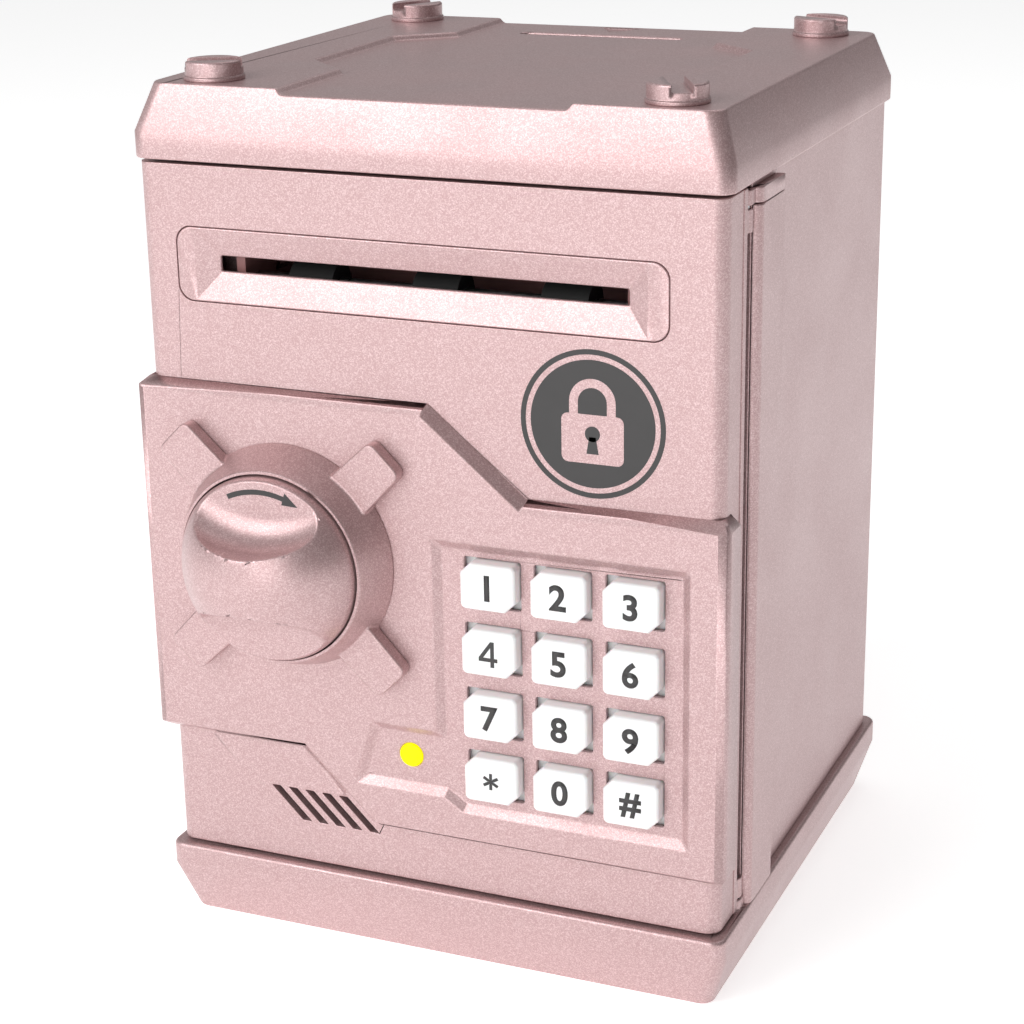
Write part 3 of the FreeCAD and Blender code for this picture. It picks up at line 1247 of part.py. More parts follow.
# ---- assembly ----
def build():
    makers = [
        base_shell, base_plate, floor_pads, base_screws,
        housing_shell, hinge_post, upper_hinge_bracket, hinge_pins, strike_plate,
        top_cover, coin_chute, top_bolts, cover_screws,
        door_shell, lock_panel, bill_slot_bezel, door_back_cover, door_screws,
        knob_escutcheon, knob_dial, knob_shaft, knob_cam, knob_screw,
        latch_bolt, latch_guide, solenoid_body, lock_plunger,
        key_membrane, circuit_board, led_lens, speaker,
        battery_box, batteries, battery_contacts, battery_cover, battery_cover_screw,
        mechanism_cover, roller_cradle, drive_shaft, idler_shaft,
        drive_gear, motor_pinion, feed_motor, bill_guide,
    ]
    for maker in makers:
        parts[maker.__name__] = maker()
    parts["drive_rollers"] = roller_set(DRIVE_ROLLER, DRIVE_Z)
    parts["idler_rollers"] = roller_set(IDLER_ROLLER, IDLER_Z)
    for names, z in zip(KEY_NAMES, KEY_ROWS):
        for name, x in zip(names, KEY_COLUMNS):
            parts[name] = key_cap(x, z)


build()
os.makedirs("parts", exist_ok=True)
for node, shape in parts.items():
    shape.exportStep("parts/" + node + ".step")
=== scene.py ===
import json
import math

import bmesh
import bpy
from bpy.props import FloatProperty, FloatVectorProperty, IntProperty, PointerProperty
from mathutils import Matrix, Vector

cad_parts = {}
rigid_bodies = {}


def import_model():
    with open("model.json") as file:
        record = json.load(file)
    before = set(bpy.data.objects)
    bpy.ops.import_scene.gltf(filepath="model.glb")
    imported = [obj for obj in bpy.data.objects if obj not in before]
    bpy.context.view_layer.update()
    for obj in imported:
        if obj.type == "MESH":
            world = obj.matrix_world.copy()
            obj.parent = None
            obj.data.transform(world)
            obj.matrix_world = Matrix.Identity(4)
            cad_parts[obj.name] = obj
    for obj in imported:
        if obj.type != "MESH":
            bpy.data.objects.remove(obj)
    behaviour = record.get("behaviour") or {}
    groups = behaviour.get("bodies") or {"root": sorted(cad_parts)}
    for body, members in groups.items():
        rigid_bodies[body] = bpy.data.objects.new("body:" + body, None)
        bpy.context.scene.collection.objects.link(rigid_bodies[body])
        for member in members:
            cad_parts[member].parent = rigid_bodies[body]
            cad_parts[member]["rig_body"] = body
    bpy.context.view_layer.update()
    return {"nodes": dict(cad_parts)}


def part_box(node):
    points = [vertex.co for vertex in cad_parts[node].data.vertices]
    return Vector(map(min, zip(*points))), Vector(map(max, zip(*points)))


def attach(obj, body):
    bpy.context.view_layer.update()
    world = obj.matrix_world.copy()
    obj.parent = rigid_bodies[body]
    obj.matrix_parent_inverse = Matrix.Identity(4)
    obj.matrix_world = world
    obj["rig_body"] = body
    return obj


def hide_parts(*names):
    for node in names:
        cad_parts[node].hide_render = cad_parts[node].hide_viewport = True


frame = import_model()

bl_info = {
    "name": "Toy Safe Coin Bank",
    "version": (1, 0, 0),
    "blender": (4, 5, 0),
    "location": "View3D > Sidebar > Coin Bank",
    "description": "Finishes a toy safe coin bank: painted shells, keypad, badge, lamp and works",
    "category": "Object",
}

MM = 0.001
MERGE_DISTANCE = 0.002 * MM
FLAT_ANGLE = math.radians(0.4)
FULL_TURN = 2 * math.pi
ROUNDING = 1e-6

# Painted shells: node, radius of its moulded edges in millimetres, and whether a face of it is
# pierced so closely that its joined faces are cut into triangles again before the rounding.
PAINTED_SHELLS = (
    ("base_shell", 0.45, True),
    ("base_plate", 0.20, False),
    ("housing_shell", 0.30, False),
    ("hinge_post", 0.30, False),
    ("upper_hinge_bracket", 0.22, False),
    ("top_cover", 0.45, False),
    ("top_bolts", 0.22, False),
    ("door_shell", 0.22, True),
    ("lock_panel", 0.40, False),
    ("bill_slot_bezel", 0.30, False),
    ("door_back_cover", 0.20, False),
    ("knob_escutcheon", 0.50, False),
    ("knob_dial", 0.30, False),
)
# Edges that fold by this much or more are rounded, unless a shorter edge than this meets them.
SHARP_ANGLE = math.radians(28.0)
SHORTEST_NEIGHBOUR = 0.1 * MM
# The lock panel wraps the door's sides past this distance from the middle and stays sharp there.
PANEL_WRAP = 60.0 * MM
# Depths that the prints lie at: the floor of the dial's hollow, and the badge's pad behind the
# door's foremost face.
DIAL_HOLLOW_FLOOR = -73.5 * MM
DOOR_PAD_RELIEF = 0.5 * MM

# Arrow: angles of its tail, neck and tip, and half its head's width in half widths of its shaft.
ARROW_ANGLES = tuple(math.radians(angle) for angle in (116.0, 72.0, 60.0))
ARROW_HEAD = 2.5

# Badge, in shares of its outer radius.
RING_INNER = 0.93
DISC_RADIUS = 0.86
LOCK_WIDTH, LOCK_HEIGHT = 0.86, 0.66
LOCK_CORNER = 0.09
LOCK_DROP = 0.20
SHACKLE_INNER, SHACKLE_OUTER = 0.20, 0.32
SHACKLE_LEG = 0.16
SHACKLE_RISE = 0.29
EYE_RADIUS = 0.105
EYE_DROP = 0.13
SLOT_CORNERS = ((-0.045, -0.17), (0.045, -0.17), (0.085, -0.40), (-0.085, -0.40))

# Merging distance for a letterform one unit high.
GLYPH_MERGE = 1e-5
STAR_ARMS = 6

# Point that the lights and the camera are set about, and each light's name, place, width and watts.
MIDDLE = Vector((0.0, 0.0, 0.0935))
LAMPS = (
    ("key_light", (-0.55, -0.95, 0.75), 1.00, 9.0),
    ("front_fill", (0.15, -1.30, 0.25), 0.90, 4.0),
    ("top_light", (0.10, 0.45, 1.10), 1.40, 2.6),
)
FLOOR_HALF_WIDTH = 6.0
FLOOR_GLOW = 0.62
SENSOR_WIDTH = 36.0
WHITE = (1.0, 1.0, 1.0, 1.0)

# Sockets of a colour Mix node, which have to be told apart by number.
MIX_FACTOR, MIX_LOW, MIX_HIGH, MIX_COLOUR = 0, 6, 7, 2

KEY_GLYPHS = {
    "key_1": "1", "key_2": "2", "key_3": "3",
    "key_4": "4", "key_5": "5", "key_6": "6",
    "key_7": "7", "key_8": "8", "key_9": "9",
    "key_star": "*", "key_0": "0", "key_hash": "#",
}

# Inner and small nodes, by the finish each one takes.
WORKS = {
    "steel": (
        "base_screws", "cover_screws", "door_screws", "hinge_pins", "strike_plate", "knob_screw",
        "latch_bolt", "lock_plunger", "battery_contacts", "battery_cover_screw",
        "drive_shaft", "idler_shaft", "feed_motor",
    ),
    "dark_moulding": (
        "coin_chute", "latch_guide", "speaker", "battery_box", "battery_cover",
    ),
    "rose_moulding": ("mechanism_cover", "roller_cradle", "bill_guide"),
    "pale_nylon": ("knob_shaft", "knob_cam", "drive_gear", "motor_pinion"),
    "tyre_rubber": ("drive_rollers", "idler_rollers"),
    "pad_rubber": ("floor_pads", "key_membrane"),
    "board_lacquer": ("circuit_board",),
    "copper_winding": ("solenoid_body",),
    "cell_wrap": ("batteries",),
}


# ---- settings ----
class PaintSettings(bpy.types.PropertyGroup):
    """Colours and gloss of the rose paint."""

    deep: FloatVectorProperty(
        name="Deep Rose", description="Paint colour between the flakes", subtype="COLOR",
        min=0.0, max=1.0, default=(0.500, 0.325, 0.325))
    bright: FloatVectorProperty(
        name="Bright Rose", description="Paint colour on the flakes", subtype="COLOR",
        min=0.0, max=1.0, default=(0.700, 0.525, 0.530))
    flake: FloatProperty(
        name="Flake Size", description="Width of one metal flake", unit="LENGTH",
        min=0.0, default=0.00020)
    roughness: FloatProperty(
        name="Roughness", description="Mean roughness of the satin paint", subtype="FACTOR",
        min=0.0, max=1.0, default=0.40)
    edge_segments: IntProperty(
        name="Edge Segments", description="Facets across each rounded edge",
        min=1, max=6, default=3)


class PrintSettings(bpy.types.PropertyGroup):
    """Sizes and colours of what is printed on the bank."""

    ink: FloatVectorProperty(
        name="Ink", description="Colour of the printed marks", subtype="COLOR",
        min=0.0, max=1.0, default=(0.040, 0.038, 0.038))
    thickness: FloatProperty(
        name="Ink Thickness", description="How far a print stands proud", unit="LENGTH",
        min=0.0, default=0.00004)
    glyph_height: FloatProperty(
        name="Digit Height", description="Height of a digit on a key", unit="LENGTH",
        min=0.0, default=0.0056)
    embolden: FloatProperty(
        name="Embolden", description="Widening of the digits for a height of one",
        min=0.0, default=0.03)
    star_share: FloatProperty(
        name="Star Share", description="Height of the star against a digit",
        min=0.0, default=0.66)
    badge_x: FloatProperty(
        name="Badge Across", description="Badge centre to the right of the middle", unit="LENGTH",
        default=0.0365)
    badge_z: FloatProperty(
        name="Badge Up", description="Badge centre above the ground", unit="LENGTH",
        default=0.1250)
    badge_radius: FloatProperty(
        name="Badge Radius", description="Outer radius of the round badge", unit="LENGTH",
        min=0.0, default=0.0152)
    arrow_width: FloatProperty(
        name="Arrow Width", description="Width of the arrow's curved shaft", unit="LENGTH",
        min=0.0, default=0.0011)
    arrow_radius: FloatProperty(
        name="Arrow Radius", description="Radius of the arrow in the dial's upper hollow",
        unit="LENGTH", min=0.0, default=0.0172)


class KeySettings(bpy.types.PropertyGroup):
    """Colours of the keys and the lamp."""

    cap: FloatVectorProperty(
        name="Key Cap", description="Colour of the key caps", subtype="COLOR",
        min=0.0, max=1.0, default=(0.86, 0.86, 0.86))
    lamp: FloatVectorProperty(
        name="Lamp", description="Colour of the indicator lens", subtype="COLOR",
        min=0.0, max=1.0, default=(0.93, 0.90, 0.001))


class StageSettings(bpy.types.PropertyGroup):
    """Camera, floor and lights."""

    azimuth: FloatProperty(
        name="Azimuth", description="Camera angle round the bank", subtype="ANGLE",
        default=math.radians(23.21))
    elevation: FloatProperty(
        name="Elevation", description="Camera angle above the horizon", subtype="ANGLE",
        default=math.radians(18.99))
    roll: FloatProperty(
        name="Roll", description="Camera roll about its view axis", subtype="ANGLE",
        default=math.radians(-0.99))
    distance: FloatProperty(
        name="Distance", description="Camera distance from the bank's middle", unit="LENGTH",
        default=0.53585)
    slide: FloatProperty(
        name="Slide", description="Camera shift to its own right", unit="LENGTH", default=-0.00581)
    rise: FloatProperty(
        name="Rise", description="Camera shift along its own up", unit="LENGTH", default=-0.00963)
    lens: FloatProperty(
        name="Lens", description="Focal length in millimetres on a 36 mm sensor", default=82.77)
    ambient: FloatProperty(
        name="Ambient", description="Strength of the even light from all round",
        min=0.0, default=0.36)
    right_share: FloatProperty(
        name="Right Share", description="Even light from the right against that from the left",
        min=0.0, max=1.0, default=0.15)
    floor: FloatVectorProperty(
        name="Floor", description="Colour of the plain floor", subtype="COLOR",
        min=0.0, max=1.0, default=(0.93, 0.93, 0.93))


class CoinBankSettings(bpy.types.PropertyGroup):
    """All settings of the coin bank."""

    paint: PointerProperty(type=PaintSettings)
    print_marks: PointerProperty(type=PrintSettings)
    keys: PointerProperty(type=KeySettings)
    stage: PointerProperty(type=StageSettings)


def settings():
    return bpy.context.scene.coin_bank


# ---- shader node groups ----
def new_group(name, inputs, outputs):
    """Shader node group with named sockets; inputs are (name, type, default)."""
    group = bpy.data.node_groups.new(name, "ShaderNodeTree")
    for label, kind, default in inputs:
        socket = group.interface.new_socket(name=label, in_out="INPUT", socket_type=kind)
        if default is not None:
            socket.default_value = default
    for label, kind in outputs:
        group.interface.new_socket(name=label, in_out="OUTPUT", socket_type=kind)
    start = group.nodes.new("NodeGroupInput")
    end = group.nodes.new("NodeGroupOutput")
    return group, start, end


def math_node(tree, operation, first, second):
    """Math node fed by two sockets or numbers; returns its output socket."""
    node = tree.nodes.new("ShaderNodeMath")
    node.operation = operation
    for slot, value in zip(node.inputs, (first, second)):
        if isinstance(value, (int, float)):
            slot.default_value = value
        else:
            tree.links.new(value, slot)
    return node.outputs[0]


def flake_group():
    """Fine metal flakes: a tone for each flake and a height for its tilt."""
    existing = bpy.data.node_groups.get("Metal Flake")
    if existing:
        return existing
    group, start, end = new_group(
        "Metal Flake",
        (("Vector", "NodeSocketVector", None), ("Size", "NodeSocketFloat", 0.0003)),
        (("Tone", "NodeSocketFloat"), ("Height", "NodeSocketFloat")))
    scale = math_node(group, "DIVIDE", 1.0, start.outputs["Size"])
    cells = group.nodes.new("ShaderNodeTexVoronoi")
    cells.feature = "F1"
    group.links.new(start.outputs["Vector"], cells.inputs["Vector"])
    group.links.new(scale, cells.inputs["Scale"])
    split = group.nodes.new("ShaderNodeSeparateColor")
    group.links.new(cells.outputs["Color"], split.inputs["Color"])
    contrast = 2.2
    sparkle = math_node(group, "POWER", split.outputs["Red"], contrast)
    group.links.new(sparkle, end.inputs["Tone"])
    group.links.new(split.outputs["Green"], end.inputs["Height"])
    return group


def haze_group():
    """Soft uneven sheen, from a broad cloud and a finer one."""
    existing = bpy.data.node_groups.get("Soft Haze")
    if existing:
        return existing
    group, start, end = new_group(
        "Soft Haze",
        (("Vector", "NodeSocketVector", None), ("Low", "NodeSocketFloat", 0.3),
         ("High", "NodeSocketFloat", 0.4), ("Scale", "NodeSocketFloat", 40.0)),
        (("Roughness", "NodeSocketFloat"), ("Cloud", "NodeSocketFloat")))
    cloud = group.nodes.new("ShaderNodeTexNoise")
    cloud.inputs["Detail"].default_value = 5.0
    group.links.new(start.outputs["Vector"], cloud.inputs["Vector"])
    group.links.new(start.outputs["Scale"], cloud.inputs["Scale"])
    spread = group.nodes.new("ShaderNodeMapRange")
    spread.inputs["From Min"].default_value = 0.30
    spread.inputs["From Max"].default_value = 0.70
    group.links.new(cloud.outputs["Fac"], spread.inputs["Value"])
    group.links.new(start.outputs["Low"], spread.inputs["To Min"])
    group.links.new(start.outputs["High"], spread.inputs["To Max"])
    group.links.new(spread.outputs["Result"], end.inputs["Roughness"])
    group.links.new(cloud.outputs["Fac"], end.inputs["Cloud"])
    return group


def grain_group():
    """Spark-eroded grain of an injection mould."""
    existing = bpy.data.node_groups.get("Mould Grain")
    if existing:
        return existing
    group, start, end = new_group(
        "Mould Grain",
        (("Vector", "NodeSocketVector", None), ("Size", "NodeSocketFloat", 0.0004)),
        (("Height", "NodeSocketFloat"),))
    scale = math_node(group, "DIVIDE", 1.0, start.outputs["Size"])
    noise = group.nodes.new("ShaderNodeTexNoise")
    noise.inputs["Detail"].default_value = 3.0
    group.links.new(start.outputs["Vector"], noise.inputs["Vector"])
    group.links.new(scale, noise.inputs["Scale"])
    pits = group.nodes.new("ShaderNodeTexVoronoi")
    group.links.new(start.outputs["Vector"], pits.inputs["Vector"])
    group.links.new(scale, pits.inputs["Scale"])
    height = math_node(group, "ADD", noise.outputs["Fac"], pits.outputs["Distance"])
    group.links.new(height, end.inputs["Height"])
    return group


# ---- materials ----
class Finish:
    """A new material with its shader and the object's own coordinates at hand."""

    def __init__(self, name):
        self.material = bpy.data.materials.new(name)
        self.material.use_nodes = True
        self.tree = self.material.node_tree
        self.shader = self.tree.nodes["Principled BSDF"]
        self.place = self.tree.nodes.new("ShaderNodeTexCoord").outputs["Object"]

    def set(self, **values):
        for label, value in values.items():
            self.shader.inputs[label.replace("_", " ")].default_value = value
        return self

    def link(self, source, label):
        self.tree.links.new(source, self.shader.inputs[label])

    def group(self, tree, **values):
        node = self.tree.nodes.new("ShaderNodeGroup")
        node.node_tree = tree
        self.tree.links.new(self.place, node.inputs["Vector"])
        for label, value in values.items():
            node.inputs[label.replace("_", " ")].default_value = value
        return node

    def mix(self, factor, low, high):
        node = self.tree.nodes.new("ShaderNodeMix")
        node.data_type = "RGBA"
        node.inputs[MIX_LOW].default_value = (*low, 1.0)
        node.inputs[MIX_HIGH].default_value = (*high, 1.0)
        self.tree.links.new(factor, node.inputs[MIX_FACTOR])
        return node.outputs[MIX_COLOUR]

    def bump(self, height, strength, distance):
        node = self.tree.nodes.new("ShaderNodeBump")
        node.inputs["Strength"].default_value = strength
        node.inputs["Distance"].default_value = distance
        self.tree.links.new(height, node.inputs["Height"])
        self.link(node.outputs["Normal"], "Normal")


def shaded(colour, share):
    return tuple(min(1.0, part * share) for part in colour)


def rose_paint():
    """Satin rose-gold paint with fine flake."""
    paint = settings().paint
    finish = Finish("rose_gold_satin_paint")
    flake = finish.group(flake_group(), Size=paint.flake)
    haze = finish.group(
        haze_group(), Low=paint.roughness - 0.04, High=paint.roughness + 0.05, Scale=55.0)
    finish.link(finish.mix(flake.outputs["Tone"], paint.deep, paint.bright), "Base Color")
    finish.link(haze.outputs["Roughness"], "Roughness")
    finish.bump(flake.outputs["Height"], strength=0.18, distance=0.00002)
    return finish.set(Metallic=0.62, Coat_Weight=0.25, Coat_Roughness=0.28).material


def moulding(name, colour, low, high, grain):
    """Moulded plastic or rubber: its colour clouds a little and its skin is grained."""
    finish = Finish(name)
    haze = finish.group(haze_group(), Low=low, High=high, Scale=70.0)
    skin = finish.group(grain_group(), Size=grain)
    clouded = finish.mix(haze.outputs["Cloud"], shaded(colour, 0.90), shaded(colour, 1.08))
    finish.link(clouded, "Base Color")
    finish.link(haze.outputs["Roughness"], "Roughness")
    finish.bump(skin.outputs["Height"], strength=0.20, distance=0.00003)
    return finish.material


def key_plastic():
    """White key caps, faintly translucent at their edges."""
    cap = settings().keys.cap
    finish = Finish("satin_white_key_plastic")
    haze = finish.group(haze_group(), Low=0.30, High=0.40, Scale=120.0)
    skin = finish.group(grain_group(), Size=0.00025)
    clouded = finish.mix(haze.outputs["Cloud"], shaded(cap, 0.97), shaded(cap, 1.02))
    finish.link(clouded, "Base Color")
    finish.link(haze.outputs["Roughness"], "Roughness")
    finish.bump(skin.outputs["Height"], strength=0.08, distance=0.00002)
    return finish.set(Subsurface_Weight=0.08, Subsurface_Scale=0.0008).material


def print_ink():
    """Pad-printed ink, slightly uneven in its cover."""
    ink = settings().print_marks.ink
    finish = Finish("dark_pad_print_ink")
    haze = finish.group(haze_group(), Low=0.42, High=0.58, Scale=160.0)
    skin = finish.group(grain_group(), Size=0.0002)
    finish.link(finish.mix(haze.outputs["Cloud"], shaded(ink, 0.8), shaded(ink, 1.3)), "Base Color")
    finish.link(haze.outputs["Roughness"], "Roughness")
    finish.bump(skin.outputs["Height"], strength=0.10, distance=0.00001)
    return finish.material


def lamp_lens():
    """Yellow indicator lens, lit a little from behind."""
    lamp = settings().keys.lamp
    finish = Finish("yellow_lamp_lens")
    haze = finish.group(haze_group(), Low=0.12, High=0.22, Scale=300.0)
    finish.link(finish.mix(haze.outputs["Cloud"], shaded(lamp, 0.96), lamp), "Base Color")
    finish.link(haze.outputs["Roughness"], "Roughness")
    finish.set(Specular_IOR_Level=0.15)
    return finish.set(Emission_Color=(*lamp, 1.0), Emission_Strength=0.55).material


def metal(name, dark, bright, low, high, stretch):
    """Drawn or turned metal, its fine lines running along one axis."""
    finish = Finish(name)
    mapping = finish.tree.nodes.new("ShaderNodeMapping")
    mapping.inputs["Scale"].default_value = stretch
    finish.tree.links.new(finish.place, mapping.inputs["Vector"])
    finish.place = mapping.outputs["Vector"]
    haze = finish.group(haze_group(), Low=low, High=high, Scale=900.0)
    finish.link(finish.mix(haze.outputs["Cloud"], dark, bright), "Base Color")
    finish.link(haze.outputs["Roughness"], "Roughness")
    finish.bump(haze.outputs["Cloud"], strength=0.12, distance=0.00002)
    return finish.set(Metallic=1.0).material


def striped(name, first, second, axis, period, share, gloss):
    """Two colours in turn along one axis, as windings or a printed sleeve have."""
    finish = Finish(name)
    split = finish.tree.nodes.new("ShaderNodeSeparateXYZ")
    finish.tree.links.new(finish.place, split.inputs["Vector"])
    turns = math_node(finish.tree, "DIVIDE", split.outputs[axis], period)
    phase = math_node(finish.tree, "FRACT", turns, 0.0)
    band = math_node(finish.tree, "LESS_THAN", phase, share)
    haze = finish.group(haze_group(), Low=gloss, High=gloss + 0.1, Scale=90.0)
    finish.link(finish.mix(band, first, second), "Base Color")
    finish.link(haze.outputs["Roughness"], "Roughness")
    finish.bump(band, strength=0.30, distance=0.00004)
    return finish.material


def works_materials():
    return {
        "steel": metal(
            "drawn_steel", dark=(0.42, 0.42, 0.43), bright=(0.66, 0.66, 0.67),
            low=0.26, high=0.40, stretch=(1.0, 0.12, 1.0)),
        "dark_moulding": moulding(
            "charcoal_moulding", (0.030, 0.030, 0.033), low=0.45, high=0.60, grain=0.0004),
        "rose_moulding": moulding(
            "bare_rose_moulding", (0.300, 0.135, 0.130), low=0.40, high=0.52, grain=0.0004),
        "pale_nylon": moulding(
            "pale_nylon", (0.72, 0.71, 0.66), low=0.32, high=0.44, grain=0.0006),
        "tyre_rubber": moulding(
            "feed_tyre_rubber", (0.018, 0.018, 0.018), low=0.70, high=0.85, grain=0.0003),
        "pad_rubber": moulding(
            "grey_pad_rubber", (0.13, 0.13, 0.135), low=0.65, high=0.80, grain=0.0005),
        "board_lacquer": striped(
            "green_board_lacquer", (0.010, 0.085, 0.030), (0.018, 0.125, 0.048),
            axis="X", period=0.0021, share=0.45, gloss=0.25),
        "copper_winding": striped(
            "copper_winding", (0.50, 0.20, 0.09), (0.72, 0.34, 0.17),
            axis="Z", period=0.0004, share=0.5, gloss=0.25),
        "cell_wrap": striped(
            "two_tone_cell_wrap", (0.030, 0.095, 0.055), (0.42, 0.33, 0.12),
            axis="X", period=0.0370, share=0.38, gloss=0.22),
    }


def finish_named(name, maker):
    """The material of that name, made the first time it is asked for."""
    return bpy.data.materials.get(name) or maker()


def give(piece, material):
    piece.data.materials.clear()
    piece.data.materials.append(material)


def cover(node, material):
    """Shows a frame node in one material, through its object's own slots."""
    piece = frame["nodes"][node]
    if not piece.material_slots:
        piece.data.materials.append(None)
    for slot in piece.material_slots:
        slot.link = "OBJECT"
        slot.material = material


# ---- mesh helpers ----
def body_of_node(node):
    return frame["nodes"][node]["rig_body"]


def piece_from(bm, name, material, body):
    """Finishes a bmesh as a piece that rides on a body."""
    mesh = bpy.data.meshes.new(name)
    bm.to_mesh(mesh)
    bm.free()
    piece = bpy.data.objects.new(name, mesh)
    bpy.context.scene.collection.objects.link(piece)
    give(piece, material)
    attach(piece, body)
    return piece


def mark_round_edges(bm, limit):
    """Weights the edges to be rounded; those beside a tiny edge or beyond the limit stay sharp."""
    weight = bm.edges.layers.float.new("bevel_weight_edge")
    for edge in bm.edges:
        if len(edge.link_faces) != 2 or edge.calc_face_angle(0.0) < SHARP_ANGLE:
            continue
        tiny = any(
            other.calc_length() < SHORTEST_NEIGHBOUR
            for vert in edge.verts for other in vert.link_edges)
        outside = any(abs(vert.co.x) > limit for vert in edge.verts)
        if not tiny and not outside:
            edge[weight] = 1.0


def rounded_copy(node, radius, pierced, material):
    """Merged copy of a frame node with its sharp edges rounded, standing for the node."""
    bm = bmesh.new()
    bm.from_mesh(frame["nodes"][node].data)
    bmesh.ops.remove_doubles(bm, verts=bm.verts, dist=MERGE_DISTANCE)
    bmesh.ops.dissolve_limit(
        bm, angle_limit=FLAT_ANGLE, use_dissolve_boundaries=False, verts=bm.verts, edges=bm.edges)
    if pierced:
        bmesh.ops.triangulate(bm, faces=bm.faces)
    mark_round_edges(bm, PANEL_WRAP if node == "lock_panel" else math.inf)
    for face in bm.faces:
        face.smooth = True
    piece = piece_from(bm, "painted_" + node, material, body_of_node(node))
    bevel = piece.modifiers.new("Moulded Edges", "BEVEL")
    bevel.width = radius * MM
    bevel.segments = settings().paint.edge_segments
    bevel.limit_method = "WEIGHT"
    bevel.use_clamp_overlap = False
    bevel.miter_outer = "MITER_ARC"
    weighted = piece.modifiers.new("Even Shading", "WEIGHTED_NORMAL")
    weighted.keep_sharp = True
    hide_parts(node)


def facing_front(across, up, depth):
    """Matrix that stands a flat piece, drawn in x and y, on a front face at this depth."""
    return Matrix.Translation((across, depth, up)) @ Matrix.Rotation(math.radians(90.0), 4, "X")


def disc(bm, radius, segments):
    """Flat filled circle about the origin; returns its vertices."""
    return bmesh.ops.create_circle(bm, cap_ends=True, segments=segments, radius=radius)["verts"]


def thicken(bm, thickness):
    """Gives flat faces a thickness towards their own front."""
    bmesh.ops.recalc_face_normals(bm, faces=bm.faces)
    grown = bmesh.ops.extrude_face_region(bm, geom=bm.faces[:])
    raised = [item for item in grown["geom"] if isinstance(item, bmesh.types.BMVert)]
    bmesh.ops.translate(bm, verts=raised, vec=(0.0, 0.0, thickness))
    bmesh.ops.recalc_face_normals(bm, faces=bm.faces)


def arc_band(bm, inner, outer, start, end, steps):
    """Flat curved band between two angles, spun from one edge."""
    first = [
        bm.verts.new((radius * math.cos(start), radius * math.sin(start), 0.0))
        for radius in (inner, outer)
    ]
    edge = bm.edges.new(first)
    full = abs(abs(end - start) - FULL_TURN) < ROUNDING
    bmesh.ops.spin(
        bm, geom=first + [edge], cent=(0.0, 0.0, 0.0), axis=(0.0, 0.0, 1.0),
        angle=end - start, steps=steps, use_merge=full)


# ---- operators ----
class COINBANK_OT_shells(bpy.types.Operator):
    """Round and paint the housing, lid, base, door and knob"""

    bl_idname = "coinbank.shells"
    bl_label = "Painted Shells"

    def execute(self, context):
        paint = finish_named("rose_gold_satin_paint", rose_paint)
        for node, radius, pierced in PAINTED_SHELLS:
            rounded_copy(node, radius, pierced, paint)
        return {"FINISHED"}


class COINBANK_OT_works(bpy.types.Operator):
    """Finish the fasteners, latch, bill feed, batteries and board"""

    bl_idname = "coinbank.works"
    bl_label = "Inner Works"

    def execute(self, context):
        materials = works_materials()
        for finish, nodes in WORKS.items():
            for node in nodes:
                cover(node, materials[finish])
        return {"FINISHED"}


